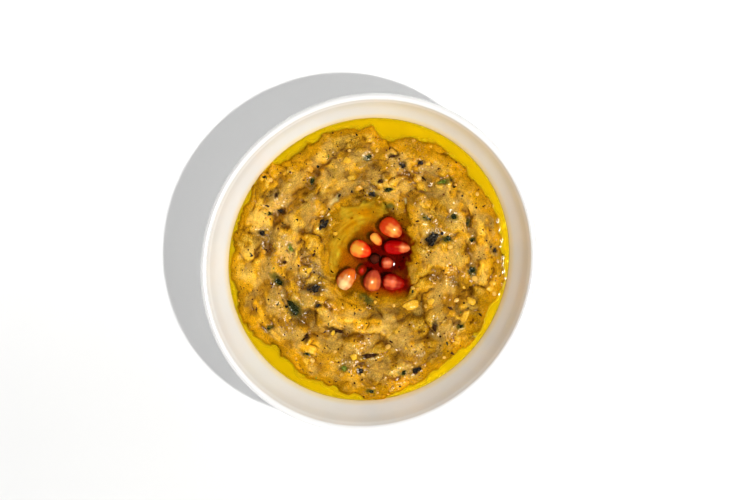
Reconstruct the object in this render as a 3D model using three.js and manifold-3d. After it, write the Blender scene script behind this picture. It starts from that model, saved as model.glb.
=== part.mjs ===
/**
 * Baba ganoush in its serving bowl.
 *
 * A glazed bowl, very slightly longer than it is wide, holds a lumpy aubergine dip. Oil fills the moat
 * between the dip and the wall, and a second pool fills the well in the middle, where ten pomegranate
 * arils lie. Lengths are millimetres and +Z is up. The origin is on the table under the middle of the
 * bowl, and +X runs along the bowl's longer axis.
 */
import * as THREE from 'three';
import { mergeVertices } from 'three/addons/utils/BufferGeometryUtils.js';
import Module from 'manifold-3d';

const wasm = await Module();
wasm.setup();

// The bowl. Its radii are means, which LONG and SHORT stretch along X and Y.
const BOWL_DIAMETER = 150;
const BOWL_HEIGHT = 50;
const LONG = 1.025;
const SHORT = 0.975;
const RIM_THICKNESS = 3;
const INNER_BOTTOM = 8;
const OUTER_BOTTOM = 4;
const WALL_POWER = 0.1565;
const INNER_FRACTIONS = [0.5, 0.64, 0.74, 0.82, 0.885, 0.94, 0.975];
const OUTER_FRACTIONS = [0.54, 0.66, 0.76, 0.85, 0.92, 0.965];
const FOOT_OUTER = 34;
const FOOT_INNER = 29;
const FOOT_HEIGHT = 4.4;
const FOOT_CHAMFER = 0.6;
const FOOT_RECESS = 2.5;
const RIM_STEPS = 4;
const SIDES = 72;
const GAP = 0.3;
const WALL_CLEARANCE = 0.36;

// The levels of what the bowl holds.
const OIL_LEVEL = 27;
const POOL_LEVEL = 29.4;
const CREST = 4.3;
const RISE = 4.2;
const MOAT_DEPTH = 3.2;
const DOME = 1.0;
const RINGS = 27;
const OVERREACH = 6;

// The serving's own layout: u to the right and v up, seen from above, turned from the long axis.
const LAYOUT_TURN = THREE.MathUtils.degToRad(50);

// Width of the oil between wall and dip, at even steps from +u, anticlockwise.
const MOAT_WIDTHS = [
  2.9, 3.3, 3.2, 4.0, 4.8, 5.5, 5.8, 5.8, 5.6, 7.2, 8.3, 9.1,
  4.7, 2.7, 3.6, 4.0, 3.9, 3.9, 2.7, 1.2, 1.1, 1.8, 1.0, 1.1,
  1.1, 1.0, 3.4, 1.3, 1.4, 5.2, 6.7, 6.2, 4.5, 5.3, 4.4, 3.1,
  1.3, 1.1, 3.1, 2.4, 4.0, 4.5, 4.5, 3.6, 5.1, 4.2, 2.3, 2.0,
];

// The well that the spoon left in the middle.
const WELL = { u: 1.3, v: 3.1, halfWidth: 20.2, halfLength: 22.6, depth: 7.0, power: 3.8, squareness: 3.2 };
const WELL_SMOOTHING = 0.7;

// Strokes of the spoon: a groove along the points, with a bank thrown up on its inner side.
const STROKES = [
  {
    depth: 3.1, width: 3.2, bank: 1.6,
    points: [
      [-22, 40], [-33, 30], [-44.3, 13.5], [-47.6, 0], [-42.1, -12.2], [-32, -25], [-17.7, -32.6],
      [-2, -35.4], [13.2, -36.5], [26.5, -34.3], [39.8, -29.9],
    ],
  },
  { depth: 2.2, width: 3.0, bank: 1.2, points: [[-2, 38], [11, 40.9], [26.5, 41.5], [38, 33], [45, 19]] },
  { depth: 1.8, width: 2.9, bank: 1.0, points: [[45.5, 17], [47.2, 1], [44, -15], [37, -24]] },
  { depth: 1.5, width: 2.8, bank: 1.2, points: [[-29, 8], [-24, 22], [-10, 31], [8, 31], [20, 26]] },
  { depth: 1.4, width: 2.8, bank: 1.0, points: [[-25, -13], [-12, -22], [6, -25], [22, -20], [31, -6]] },
];
const STROKE_STEPS = 28;
const BANK_OFFSET = 1.7;

// The coarse lumps of roasted pulp.
const LUMP_COUNT = 120;
const LUMP_FIELD = 60;
const LUMP_RADIUS = [3.6, 6.2];
const LUMP_HEIGHT = [0.5, 1.5];
const LUMP_JITTER = 3.2;
const GOLDEN_ANGLE = Math.PI * (3 - Math.sqrt(5));
const SEED = 20411;

// The largest bits of herb, char and skin: place in the layout, length, width and turn in degrees.
const FLECKS = [
  [28.3, 9.5, 8.0, 5.3, 65], [34.9, 9.9, 4.4, 3.5, 0], [8.1, 24.4, 5.8, 3.1, -10],
  [1.4, 29.7, 4.4, 2.7, -10], [14.8, 42.3, 3.5, 2.7, 0], [23.4, 44.0, 3.5, 2.2, 20],
  [-33.6, -21.3, 9.7, 5.3, -60], [-41.6, -8.7, 8.0, 3.5, -50], [-25.0, -12.5, 7.1, 4.0, 0],
  [-23.4, -20.3, 3.5, 1.8, 10], [-15.3, -31.5, 8.8, 2.7, -12], [-20.5, 16.3, 5.8, 4.0, 50],
  [-48.1, 12.3, 3.5, 2.7, -30], [-25.5, 35.7, 4.0, 2.2, 80], [-39.5, 22.0, 4.0, 2.2, -30],
  [46.2, -5.0, 4.9, 3.1, 90], [29.6, -29.9, 5.8, 2.2, 90], [21.3, -50.0, 5.3, 2.7, 35],
  [-0.7, -17.5, 7.5, 3.5, -30], [0.4, -43.1, 8.4, 2.2, 8], [33.6, 35.4, 8.4, 1.8, 15],
];
const SPREAD_FLECKS = 30;
const SPREAD_FLECK_LENGTH = [2.6, 4.2];
const FLECK_SIDES = 7;
const FLECK_HALF_HEIGHT = 0.9;
const FLECK_EDGE_SINK = 0.1;
const FLECK_ASPECT = 0.6;
const FLECK_SHORE_CLEARANCE = 4;
const FLECK_WELL_SHARE = 0.02;

// The arils: place in the layout, length, width, turn in degrees, pitch in degrees, and lift.
const ARILS = [
  { u: 10.0, v: 14.4, length: 11.0, width: 8.2, turn: -35, pitch: 12, lift: 0.4 },
  { u: 3.3, v: 9.3, length: 6.6, width: 4.4, turn: -49, pitch: 0, lift: 2.2 },
  { u: -3.7, v: 4.5, length: 9.8, width: 7.8, turn: -20, pitch: 8, lift: 0 },
  { u: 12.6, v: 5.6, length: 12.0, width: 6.4, turn: -3, pitch: 10, lift: 0.2 },
  { u: 8.3, v: -1.4, length: 5.8, width: 5.6, turn: 0, pitch: 0, lift: 0.3 },
  { u: 2.8, v: 0.6, length: 5.2, width: 4.8, turn: 20, pitch: 0, lift: 0 },
  { u: -3.0, v: -4.5, length: 5.6, width: 4.0, turn: 60, pitch: 0, lift: 0 },
  { u: -9.8, v: -8.2, length: 11.0, width: 7.4, turn: 57, pitch: 14, lift: 0 },
  { u: 1.9, v: -9.0, length: 10.0, width: 7.8, turn: 80, pitch: 6, lift: 0.6 },
  { u: 11.0, v: -10.2, length: 10.2, width: 7.4, turn: -10, pitch: -8, lift: 0.3 },
];
const ARIL_SIDES = 10;
const ARIL_RINGS = 7;
const ARIL_TAPER = 0.22;
const ARIL_FACETS = 5;
const ARIL_FACET_DEPTH = 0.05;
const ARIL_FLATNESS = 0.9;
const ARIL_REST = 0.45;

/** Random numbers from 0 to 1 that are the same on every run. */
function seededRandom(seed) {
  let state = seed >>> 0;
  return () => {
    state = (Math.imul(state, 1664525) + 1013904223) >>> 0;
    return state / 4294967296;
  };
}

const between = ([low, high], share) => low + (high - low) * share;

/** Turn a place in the serving's layout into the bowl's X and Y. */
function fromLayout(u, v) {
  const c = Math.cos(LAYOUT_TURN);
  const s = Math.sin(LAYOUT_TURN);
  return [u * c + v * s, v * c - u * s];
}

/** Turn the bowl's X and Y into a place in the serving's layout. */
function toLayout(x, y) {
  const c = Math.cos(LAYOUT_TURN);
  const s = Math.sin(LAYOUT_TURN);
  return [x * c - y * s, x * s + y * c];
}

/** Height of a wall whose radius grows as a power of the height, where it has this share of its radius. */
function wallHeight(share, bottom) {
  return bottom + (BOWL_HEIGHT - bottom) * share ** (1 / WALL_POWER);
}

/** Mean inner radius of the bowl at a height. */
function innerRadius(z) {
  const share = Math.max(0, (z - INNER_BOTTOM) / (BOWL_HEIGHT - INNER_BOTTOM));
  return (BOWL_DIAMETER / 2 - RIM_THICKNESS) * share ** WALL_POWER;
}

/** Interpolate a closed list of values at an angle, smoothly. */
function aroundList(values, angle) {
  const turn = ((angle / (2 * Math.PI)) % 1 + 1) % 1;
  const place = turn * values.length;
  const index = Math.floor(place);
  const share = place - index;
  const eased = share * share * (3 - 2 * share);
  return between([values[index % values.length], values[(index + 1) % values.length]], eased);
}

/** The strokes as dense polylines. */
const strokePaths = STROKES.map((stroke) => {
  const curve = new THREE.CatmullRomCurve3(stroke.points.map(([u, v]) => new THREE.Vector3(u, v, 0)));
  return curve.getPoints(STROKE_STEPS);
});

/** Signed distance from a place to a polyline, positive on its left. */
function distanceToPath(path, u, v) {
  let best = Infinity;
  let signed = Infinity;
  for (let i = 0; i < path.length - 1; i += 1) {
    const du = path[i + 1].x - path[i].x;
    const dv = path[i + 1].y - path[i].y;
    const along = ((u - path[i].x) * du + (v - path[i].y) * dv) / (du * du + dv * dv);
    const share = THREE.MathUtils.clamp(along, 0, 1);
    const gapU = u - path[i].x - share * du;
    const gapV = v - path[i].y - share * dv;
    const distance = Math.hypot(gapU, gapV);
    if (distance < best) {
      best = distance;
      signed = du * gapV - dv * gapU < 0 ? -distance : distance;
    }
  }
  return signed;
}

/** The lumps, spread evenly along a sunflower spiral and then moved a little. */
function makeLumps() {
  const random = seededRandom(SEED);
  const lumps = [];
  for (let i = 0; i < LUMP_COUNT; i += 1) {
    const radius = LUMP_FIELD * Math.sqrt((i + 0.5) / LUMP_COUNT);
    const angle = i * GOLDEN_ANGLE;
    lumps.push({
      u: radius * Math.cos(angle) + LUMP_JITTER * (random() - 0.5),
      v: radius * Math.sin(angle) + LUMP_JITTER * (random() - 0.5),
      radius: between(LUMP_RADIUS, random()),
      height: between(LUMP_HEIGHT, random()),
    });
  }
  return lumps;
}

const lumps = makeLumps();

/** How far inside the shore a place lies: positive on the dip, negative in the moat. */
function inlandDistance(x, y) {
  const [u, v] = toLayout(x, y);
  const shore = innerRadius(OIL_LEVEL) - aroundList(MOAT_WIDTHS, Math.atan2(v, u));
  return shore - Math.hypot(x / LONG, y / SHORT);
}

/** Share of the well's depth at a place, 1 in the middle and 0 well outside. */
function wellShare(u, v) {
  const across = Math.abs((u - WELL.u) / WELL.halfWidth) ** WELL.squareness;
  const along = Math.abs((v - WELL.v) / WELL.halfLength) ** WELL.squareness;
  return Math.exp(-((across + along) ** (WELL.power / WELL.squareness)));
}

/** Height of the dip's surface above the table. */
function dipHeight(x, y) {
  const [u, v] = toLayout(x, y);
  const inland = inlandDistance(x, y);
  if (inland < 0) {
    return OIL_LEVEL - MOAT_DEPTH * (1 - Math.exp((inland * CREST) / (RISE * MOAT_DEPTH)));
  }
  const land = 1 - Math.exp(-inland / RISE);
  let relief = DOME * (1 - (Math.hypot(u, v) / innerRadius(OIL_LEVEL)) ** 2);
  STROKES.forEach((stroke, index) => {
    const side = distanceToPath(strokePaths[index], u, v) / stroke.width;
    relief -= stroke.depth * Math.exp(-side * side);
    relief += stroke.bank * Math.exp(-((side - BANK_OFFSET) ** 2));
  });
  let lump = 0;
  lumps.forEach((one) => {
    const share = 1 - ((u - one.u) ** 2 + (v - one.v) ** 2) / one.radius ** 2;
    lump = Math.max(lump, share > 0 ? one.height * share : 0);
  });
  const well = wellShare(u, v);
  relief += lump * (1 - WELL_SMOOTHING * well) - WELL.depth * well;
  return OIL_LEVEL + land * (CREST + relief);
}

/** A solid of an indexed triangle list, from merged vertices. */
function solidOf(geometry) {
  const bare = new THREE.BufferGeometry();
  bare.setAttribute('position', geometry.getAttribute('position').clone());
  bare.setIndex(geometry.getIndex());
  const merged = mergeVertices(bare, 1e-4);
  return new wasm.Manifold(
    new wasm.Mesh({
      numProp: 3,
      vertProperties: Float32Array.from(merged.getAttribute('position').array),
      triVerts: Uint32Array.from(merged.getIndex().array),
    }),
  );
}

/** The geometry of a solid, for a mesh. */
function geometryOf(solid) {
  const mesh = solid.getMesh();
  const geometry = new THREE.BufferGeometry();
  geometry.setAttribute('position', new THREE.BufferAttribute(mesh.vertProperties, 3));
  geometry.setIndex(new THREE.BufferAttribute(mesh.triVerts, 1));
  geometry.computeVertexNormals();
  return geometry;
}

/** Spin a profile of [radius, height] points round Z, stretched to the bowl's two axes. */
function spun(profile) {
  const geometry = new THREE.LatheGeometry(profile.map(([r, z]) => new THREE.Vector2(r, z)), SIDES);
  geometry.rotateX(Math.PI / 2);
  geometry.scale(LONG, SHORT, 1);
  return geometry;
}

/** A closed mesh from rings of points between two pole points, the first pole being the lower one. */
function ringedSolid(lowPole, rings, highPole) {
  const count = rings[0].length;
  const positions = [...lowPole, ...rings.flat(2), ...highPole];
  const last = positions.length / 3 - 1;
  const index = [];
  const at = (ring, side) => 1 + ring * count + (side % count);
  for (let side = 0; side < count; side += 1) {
    index.push(0, at(0, side + 1), at(0, side));
    for (let ring = 0; ring < rings.length - 1; ring += 1) {
      index.push(at(ring, side), at(ring, side + 1), at(ring + 1, side + 1));
      index.push(at(ring, side), at(ring + 1, side + 1), at(ring + 1, side));
    }
    index.push(last, at(rings.length - 1, side), at(rings.length - 1, side + 1));
  }
  const geometry = new THREE.BufferGeometry();
  geometry.setAttribute('position', new THREE.Float32BufferAttribute(positions, 3));
  geometry.setIndex(index);
  return geometry;
}

/** The bowl: foot ring, flaring wall with a rounded rim, and inner wall, as one profile. */
function makeBowl() {
  const outer = BOWL_DIAMETER / 2;
  const inner = outer - RIM_THICKNESS;
  const rim = RIM_THICKNESS / 2;
  const profile = [
    [0, FOOT_RECESS],
    [FOOT_INNER - FOOT_RECESS / 2, FOOT_RECESS],
    [FOOT_INNER, 0],
    [FOOT_OUTER - FOOT_CHAMFER, 0],
    [FOOT_OUTER, FOOT_CHAMFER],
    [FOOT_OUTER, FOOT_HEIGHT],
  ];
  OUTER_FRACTIONS.forEach((share) => profile.push([outer * share, wallHeight(share, OUTER_BOTTOM)]));
  for (let step = 0; step <= RIM_STEPS; step += 1) {
    const angle = (step * Math.PI) / RIM_STEPS;
    profile.push([outer - rim + rim * Math.cos(angle), BOWL_HEIGHT - rim + rim * Math.sin(angle)]);
  }
  [...INNER_FRACTIONS].reverse().forEach((share) => {
    profile.push([inner * share, wallHeight(share, INNER_BOTTOM)]);
  });
  profile.push([0, INNER_BOTTOM]);
  return solidOf(spun(profile));
}

/** The space inside the bowl up to a level, clear of the wall: the wall's points moved along its normal. */
function makeCavity(level) {
  const inner = BOWL_DIAMETER / 2 - RIM_THICKNESS;
  const profile = [[0, INNER_BOTTOM + GAP]];
  INNER_FRACTIONS.forEach((share) => {
    const z = wallHeight(share, INNER_BOTTOM);
    const slope = (innerRadius(z + GAP) - innerRadius(z - GAP)) / (2 * GAP);
    const normal = Math.hypot(1, slope);
    if (z + GAP < level) {
      profile.push([inner * share - WALL_CLEARANCE / normal, z + (WALL_CLEARANCE * slope) / normal]);
    }
  });
  profile.push([innerRadius(level) - 2 * GAP, level]);
  profile.push([0, level]);
  return solidOf(spun(profile));
}

/** A block whose top is the dip's surface, raised by an amount, reaching past the bowl's wall. */
function makeHeightBlock(raise) {
  const reach = innerRadius(OIL_LEVEL) + OVERREACH;
  const rings = [];
  const ringAt = (radius, heightOf) => {
    const ring = [];
    for (let side = 0; side < SIDES; side += 1) {
      const angle = (side / SIDES) * 2 * Math.PI;
      const x = radius * LONG * Math.cos(angle);
      const y = radius * SHORT * Math.sin(angle);
      ring.push([x, y, heightOf(x, y)]);
    }
    return ring;
  };
  rings.push(ringAt(reach, () => 0));
  for (let i = RINGS; i > 0; i -= 1) {
    rings.push(ringAt((reach * i) / RINGS, (x, y) => dipHeight(x, y) + raise));
  }
  return solidOf(ringedSolid([0, 0, 0], rings, [0, 0, dipHeight(0, 0) + raise]));
}

/** One flake of herb, char or skin, draped on the dip and half sunk, grown all round by an amount. */
function makeFleck([u, v, length, width, turn], grow) {
  const [x, y] = fromLayout(u, v);
  const base = dipHeight(x, y);
  const heading = THREE.MathUtils.degToRad(turn) - LAYOUT_TURN;
  const ring = [];
  for (let side = 0; side < FLECK_SIDES; side += 1) {
    const angle = (side / FLECK_SIDES) * 2 * Math.PI;
    const along = (length / 2 + grow) * Math.cos(angle);
    const across = (width / 2 + grow) * Math.sin(angle);
    const px = x + along * Math.cos(heading) - across * Math.sin(heading);
    const py = y + along * Math.sin(heading) + across * Math.cos(heading);
    ring.push([px, py, dipHeight(px, py) - FLECK_EDGE_SINK + grow]);
  }
  const low = [x, y, base - 2 * FLECK_HALF_HEIGHT];
  const high = [x, y, base + FLECK_HALF_HEIGHT + grow];
  return solidOf(ringedSolid(low, [ring], high));
}

/** Smaller flecks spread over the dip, away from the shore and the well. */
function spreadFlecks() {
  const random = seededRandom(SEED + 1);
  const rows = [];
  for (let i = 0; i < SPREAD_FLECKS; i += 1) {
    const radius = innerRadius(OIL_LEVEL) * Math.sqrt((i + 0.5) / SPREAD_FLECKS);
    const angle = i * GOLDEN_ANGLE + random();
    const length = between(SPREAD_FLECK_LENGTH, random());
    const u = radius * Math.cos(angle);
    const v = radius * Math.sin(angle);
    const turn = 180 * random();
    const [x, y] = fromLayout(u, v);
    const crowded = FLECKS.some((row) => Math.hypot(row[0] - u, row[1] - v) < row[2] / 2 + length);
    const dry = inlandDistance(x, y) > FLECK_SHORE_CLEARANCE && wellShare(u, v) < FLECK_WELL_SHARE;
    if (dry && !crowded) {
      rows.push([u, v, length, length * FLECK_ASPECT, turn]);
    }
  }
  return rows;
}

/** The rings and end points of an aril round its own middle: a tapered drop with blunt facets. */
function arilShape(aril, grow) {
  const heading = THREE.MathUtils.degToRad(aril.turn) - LAYOUT_TURN;
  const placement = new THREE.Matrix4().makeRotationZ(heading);
  placement.multiply(new THREE.Matrix4().makeRotationY(-THREE.MathUtils.degToRad(aril.pitch)));
  const point = (angle, side) => {
    const turn = (side / ARIL_SIDES) * 2 * Math.PI;
    const swell = (1 + ARIL_TAPER * Math.cos(angle)) * (1 + ARIL_FACET_DEPTH * Math.cos(ARIL_FACETS * turn));
    const radius = (aril.width / 2 + grow) * Math.sin(angle) * swell;
    const local = new THREE.Vector3(
      -(aril.length / 2 + grow) * Math.cos(angle),
      radius * Math.cos(turn),
      radius * Math.sin(turn) * ARIL_FLATNESS,
    );
    return local.applyMatrix4(placement);
  };
  const rings = [];
  for (let ring = 1; ring < ARIL_RINGS; ring += 1) {
    const row = [];
    for (let side = 0; side < ARIL_SIDES; side += 1) {
      row.push(point((ring / ARIL_RINGS) * Math.PI, side));
    }
    rings.push(row);
  }
  return { start: point(0, 0), rings, end: point(Math.PI, 0) };
}

/** Height of an aril's middle when it lies on the dip and is then lifted by its neighbours. */
function arilHeight(aril) {
  const [x, y] = fromLayout(aril.u, aril.v);
  const { rings } = arilShape(aril, 0);
  const contacts = rings.flat().map((p) => dipHeight(x + p.x, y + p.y) + ARIL_REST - p.z);
  return Math.max(...contacts) + aril.lift;
}

/** One aril in its place, grown all round by an amount. */
function makeAril(aril, grow) {
  const [x, y] = fromLayout(aril.u, aril.v);
  const height = arilHeight(aril);
  const { start, rings, end } = arilShape(aril, grow);
  const placed = (p) => [x + p.x, y + p.y, height + p.z];
  return solidOf(ringedSolid(placed(start), rings.map((row) => row.map(placed)), placed(end)));
}

/** The largest of a solid's separate pieces. */
function largestPiece(solid) {
  const pieces = solid.decompose();
  return pieces.reduce((best, piece) => (piece.volume() > best.volume() ? piece : best));
}

/** A named mesh with its own finish. */
function node(name, solid, color, roughness) {
  const material = new THREE.MeshStandardMaterial({ color, roughness, metalness: 0 });
  const mesh = new THREE.Mesh(geometryOf(solid), material);
  mesh.name = name;
  return mesh;
}

const allFlecks = [...FLECKS, ...spreadFlecks()];

/** The dip's block and its largest flecks as one solid, raised and grown by an amount. */
function makeDipBlock(grow) {
  return allFlecks.reduce((block, row) => block.add(makeFleck(row, grow)), makeHeightBlock(grow));
}

/** The dip: the block as far as the bowl's inside lets it reach. */
function makeDip() {
  return largestPiece(makeDipBlock(0).intersect(makeCavity(BOWL_HEIGHT - RIM_THICKNESS)));
}

/** The oil between the wall and the dip. */
function makeOilRing() {
  return largestPiece(makeCavity(OIL_LEVEL).subtract(makeDipBlock(GAP)));
}

/** The oil in the well, cut round the arils. */
function makeOilPool() {
  const [x, y] = fromLayout(WELL.u, WELL.v);
  const reach = WELL.halfLength + OVERREACH;
  const ring = (z) => {
    const points = [];
    for (let side = 0; side < SIDES / 2; side += 1) {
      const angle = (side / SIDES) * 4 * Math.PI;
      points.push([x + reach * Math.cos(angle), y + reach * Math.sin(angle), z]);
    }
    return points;
  };
  const low = POOL_LEVEL - 2 * WELL.depth;
  const drum = ringedSolid([x, y, low], [ring(low), ring(POOL_LEVEL)], [x, y, POOL_LEVEL]);
  let pool = solidOf(drum).subtract(makeDipBlock(GAP));
  ARILS.forEach((aril) => {
    pool = pool.subtract(makeAril(aril, GAP));
  });
  return largestPiece(pool);
}

const serving = new THREE.Group();
serving.add(node('bowl', makeBowl(), 0xf3f1ec, 0.2));
serving.add(node('dip', makeDip(), 0xc89038, 0.4));
serving.add(node('oil_ring', makeOilRing(), 0xd9a806, 0.08));
serving.add(node('oil_pool', makeOilPool(), 0xc07a0c, 0.08));
ARILS.forEach((aril, index) => {
  serving.add(node(`aril_${index + 1}`, makeAril(aril, 0), 0xb82a18, 0.15));
});

export default serving;
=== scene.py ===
"""Baba ganoush in its bowl: the fine surfaces and finishes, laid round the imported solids.

The shapes are worked out in millimetres. The serving has a layout of its own, u to the right and v up as
it is seen from above, turned from the bowl's long axis. One raster holds the relief of the mash, and every
piece that touches the mash reads its height from there.
"""

import functools
import math

import bpy
import numpy as np
from bpy.props import FloatProperty, FloatVectorProperty, IntProperty, PointerProperty
from mathutils import Matrix, Vector


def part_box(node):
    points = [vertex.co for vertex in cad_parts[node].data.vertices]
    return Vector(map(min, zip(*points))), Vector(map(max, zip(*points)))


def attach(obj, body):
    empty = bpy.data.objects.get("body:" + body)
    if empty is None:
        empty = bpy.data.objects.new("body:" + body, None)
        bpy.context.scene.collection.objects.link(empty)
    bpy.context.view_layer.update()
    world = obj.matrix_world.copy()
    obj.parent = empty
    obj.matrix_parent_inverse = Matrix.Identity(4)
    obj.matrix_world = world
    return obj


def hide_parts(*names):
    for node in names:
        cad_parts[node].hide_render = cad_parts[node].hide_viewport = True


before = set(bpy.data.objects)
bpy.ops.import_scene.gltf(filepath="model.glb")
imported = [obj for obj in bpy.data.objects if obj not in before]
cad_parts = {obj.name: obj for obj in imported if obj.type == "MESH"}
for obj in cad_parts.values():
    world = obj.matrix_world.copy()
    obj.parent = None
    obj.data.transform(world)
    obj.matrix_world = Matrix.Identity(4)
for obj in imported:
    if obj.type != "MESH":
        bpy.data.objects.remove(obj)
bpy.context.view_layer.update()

bl_info = {
    "name": "Baba Ganoush Serving",
    "version": (1, 0, 0),
    "blender": (4, 5, 0),
    "location": "3D View > Sidebar > Serving",
    "description": "Makes a bowl of baba ganoush with oil, herbs and pomegranate",
    "category": "Add Mesh",
}

MM = 0.001
BODY = "root"

# The bowl. Its radii are means, which LONG and SHORT stretch along X and Y.
BOWL_RADIUS = 75.0
BOWL_HEIGHT = 50.0
LONG = 1.025
SHORT = 0.975
RIM_THICKNESS = 3.0
INNER_BOTTOM = 8.0
OUTER_BOTTOM = 4.0
WALL_POWER = 0.1565
SWELL = 0.5
SWELL_HEIGHTS = (26.0, 39.0, 48.5)
# Where shade and warm bounce light are painted on the inner wall: the side's direction in the layout, and the
# heights in metres over which it darkens further.
PAINTED_SHADE_SIDE = math.radians(28)
PAINTED_SHADE_HEIGHTS = (0.032, 0.044)
# How far above the oil its film and the painted reflection of the oil reach on the wall.
FILM_AND_REFLECTION_HEIGHT = 4.5
FOOT_OUTER = 34.0
FOOT_INNER = 29.0
FOOT_HEIGHT = 4.4
FOOT_RECESS = 2.5
FOOT_FILLET = 1.2
FOOT_EDGE = 0.7

# What it holds.
OIL_LEVEL = 27.0
POOL_LEVEL = 29.4
CREST = 4.3
RISE = 4.2
MOAT_DEPTH = 3.2
DOME = 1.0
LAYOUT_TURN = math.radians(50)
MOAT_WIDTHS = np.array([
    2.9, 3.3, 3.2, 4.0, 4.8, 5.5, 5.8, 5.8, 5.6, 7.2, 8.3, 9.1,
    4.7, 2.7, 3.6, 4.0, 3.9, 3.9, 2.7, 1.2, 1.1, 1.8, 1.0, 1.1,
    1.1, 1.0, 3.4, 1.3, 1.4, 5.2, 6.7, 6.2, 4.5, 5.3, 4.4, 3.1,
    1.3, 1.1, 3.1, 2.4, 4.0, 4.5, 4.5, 3.6, 5.1, 4.2, 2.3, 2.0,
])
WELL_MIDDLE = (1.3, 3.1)
WELL_HALF = (20.2, 22.6)
WELL_DEPTH = 7.0
WELL_POWER = 3.8
WELL_SQUARENESS = 3.2
WELL_SMOOTHING = 0.7

# The meshes of the mash and the oils: how far they reach under or past what they meet, how thick the oil's
# sheets are, the depths at which oil has taken most of its tint, and how many rows they have.
MASH_BED = 0.25
MASH_STEPS = 6
OIL_THICKNESS = 0.5
MOAT_OVERLAP = 7.0
MOAT_FADE = 1.1
MOAT_GRID = (44, 900)
POOL_MARGIN = 4.5
POOL_FADE = 2.0
POOL_GRID = 150

# Strokes of the spoon: depth, width and bank of each groove, and the points it runs through.
STROKES = (
    (3.1, 3.2, 1.6, ((-22, 40), (-33, 30), (-44.3, 13.5), (-47.6, 0), (-42.1, -12.2), (-32, -25),
                     (-17.7, -32.6), (-2, -35.4), (13.2, -36.5), (26.5, -34.3), (39.8, -29.9))),
    (2.2, 3.0, 1.2, ((-2, 38), (11, 40.9), (26.5, 41.5), (38, 33), (45, 19))),
    (1.8, 2.9, 1.0, ((45.5, 17), (47.2, 1), (44, -15), (37, -24))),
    (1.5, 2.8, 1.2, ((-29, 8), (-24, 22), (-10, 31), (8, 31), (20, 26))),
    (1.4, 2.8, 1.0, ((-25, -13), (-12, -22), (6, -25), (22, -20), (31, -6))),
)
BANK_OFFSET = 1.7

# The smooth lip left of the well, and the inner edge of the shallow crescent beside it.
LIP = ((-19.5, -6), (-17.8, 3), (-13.2, 12), (-5, 20))
LIP_WIDTH = 1.1
CRESCENT = ((-17, -12), (-14.6, -4), (-13, 2), (-8.5, 9), (-2, 16), (6, 20))

# The shaded places in the well: middle, reach along u and v, and how dark.
WELL_SHADES = ((16.6, -0.5, 4.0, 9.0, 1.0), (9.7, 22.0, 4.0, 3.0, 1.0), (-5.0, 8.0, 6.0, 6.0, 1.0))

# The painted shadow on the groove's side that faces away from the lamp: middle, reach squared, and how far up
# the side it lies and how wide it is.
GROOVE_SHADOW = ((-46, 3), 160, 0.75, 0.3)

# Hills of noise that unsettle the shore, the strokes and lumps, the well, the crumbs and the stains:
# the height, width and seed of each.
SHORE_HILLS = ((0.25, 0.7, 31), (0.35, 1.3, 70), (0.5, 2.4, 32))
STROKE_HILLS = ((0.9, 2.4, 33), (0.35, 0.8, 44))
WELL_HILLS = ((0.3, 3.0, 71),)
CRUMB_HILLS = ((0.25, 0.6, 35),)
STAIN_HILLS = ((0.4, 0.6, 56),)

# Hollows where shade is painted: the blur that finds them, the depths where they start and end, and their
# share.
HOLLOWS = ((0.5, 0.05, 0.25, 0.65), (1.3, 0.2, 1.1, 0.38), (3.6, 0.5, 2.3, 0.45))

# The coarse lumps, spread like the seeds of a sunflower.
LUMP_COUNT = 120
LUMP_FIELD = 60.0
LUMP_RADIUS = (3.6, 6.2)
LUMP_HEIGHT = (0.5, 1.5)
LUMP_JITTER = 3.2
GOLDEN_ANGLE = math.pi * (3 - math.sqrt(5))
SEED = 20411

# The finer lumps: radii, heights, lift and seed, and the power that shapes their caps.
CHUNKS = (((1.3, 4.4), (0.6, 1.6), 0.4, 41), 0.6)
CRUMBS = (((0.5, 1.6), (0.15, 0.5), 0.1, 42), 0.8)

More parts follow.
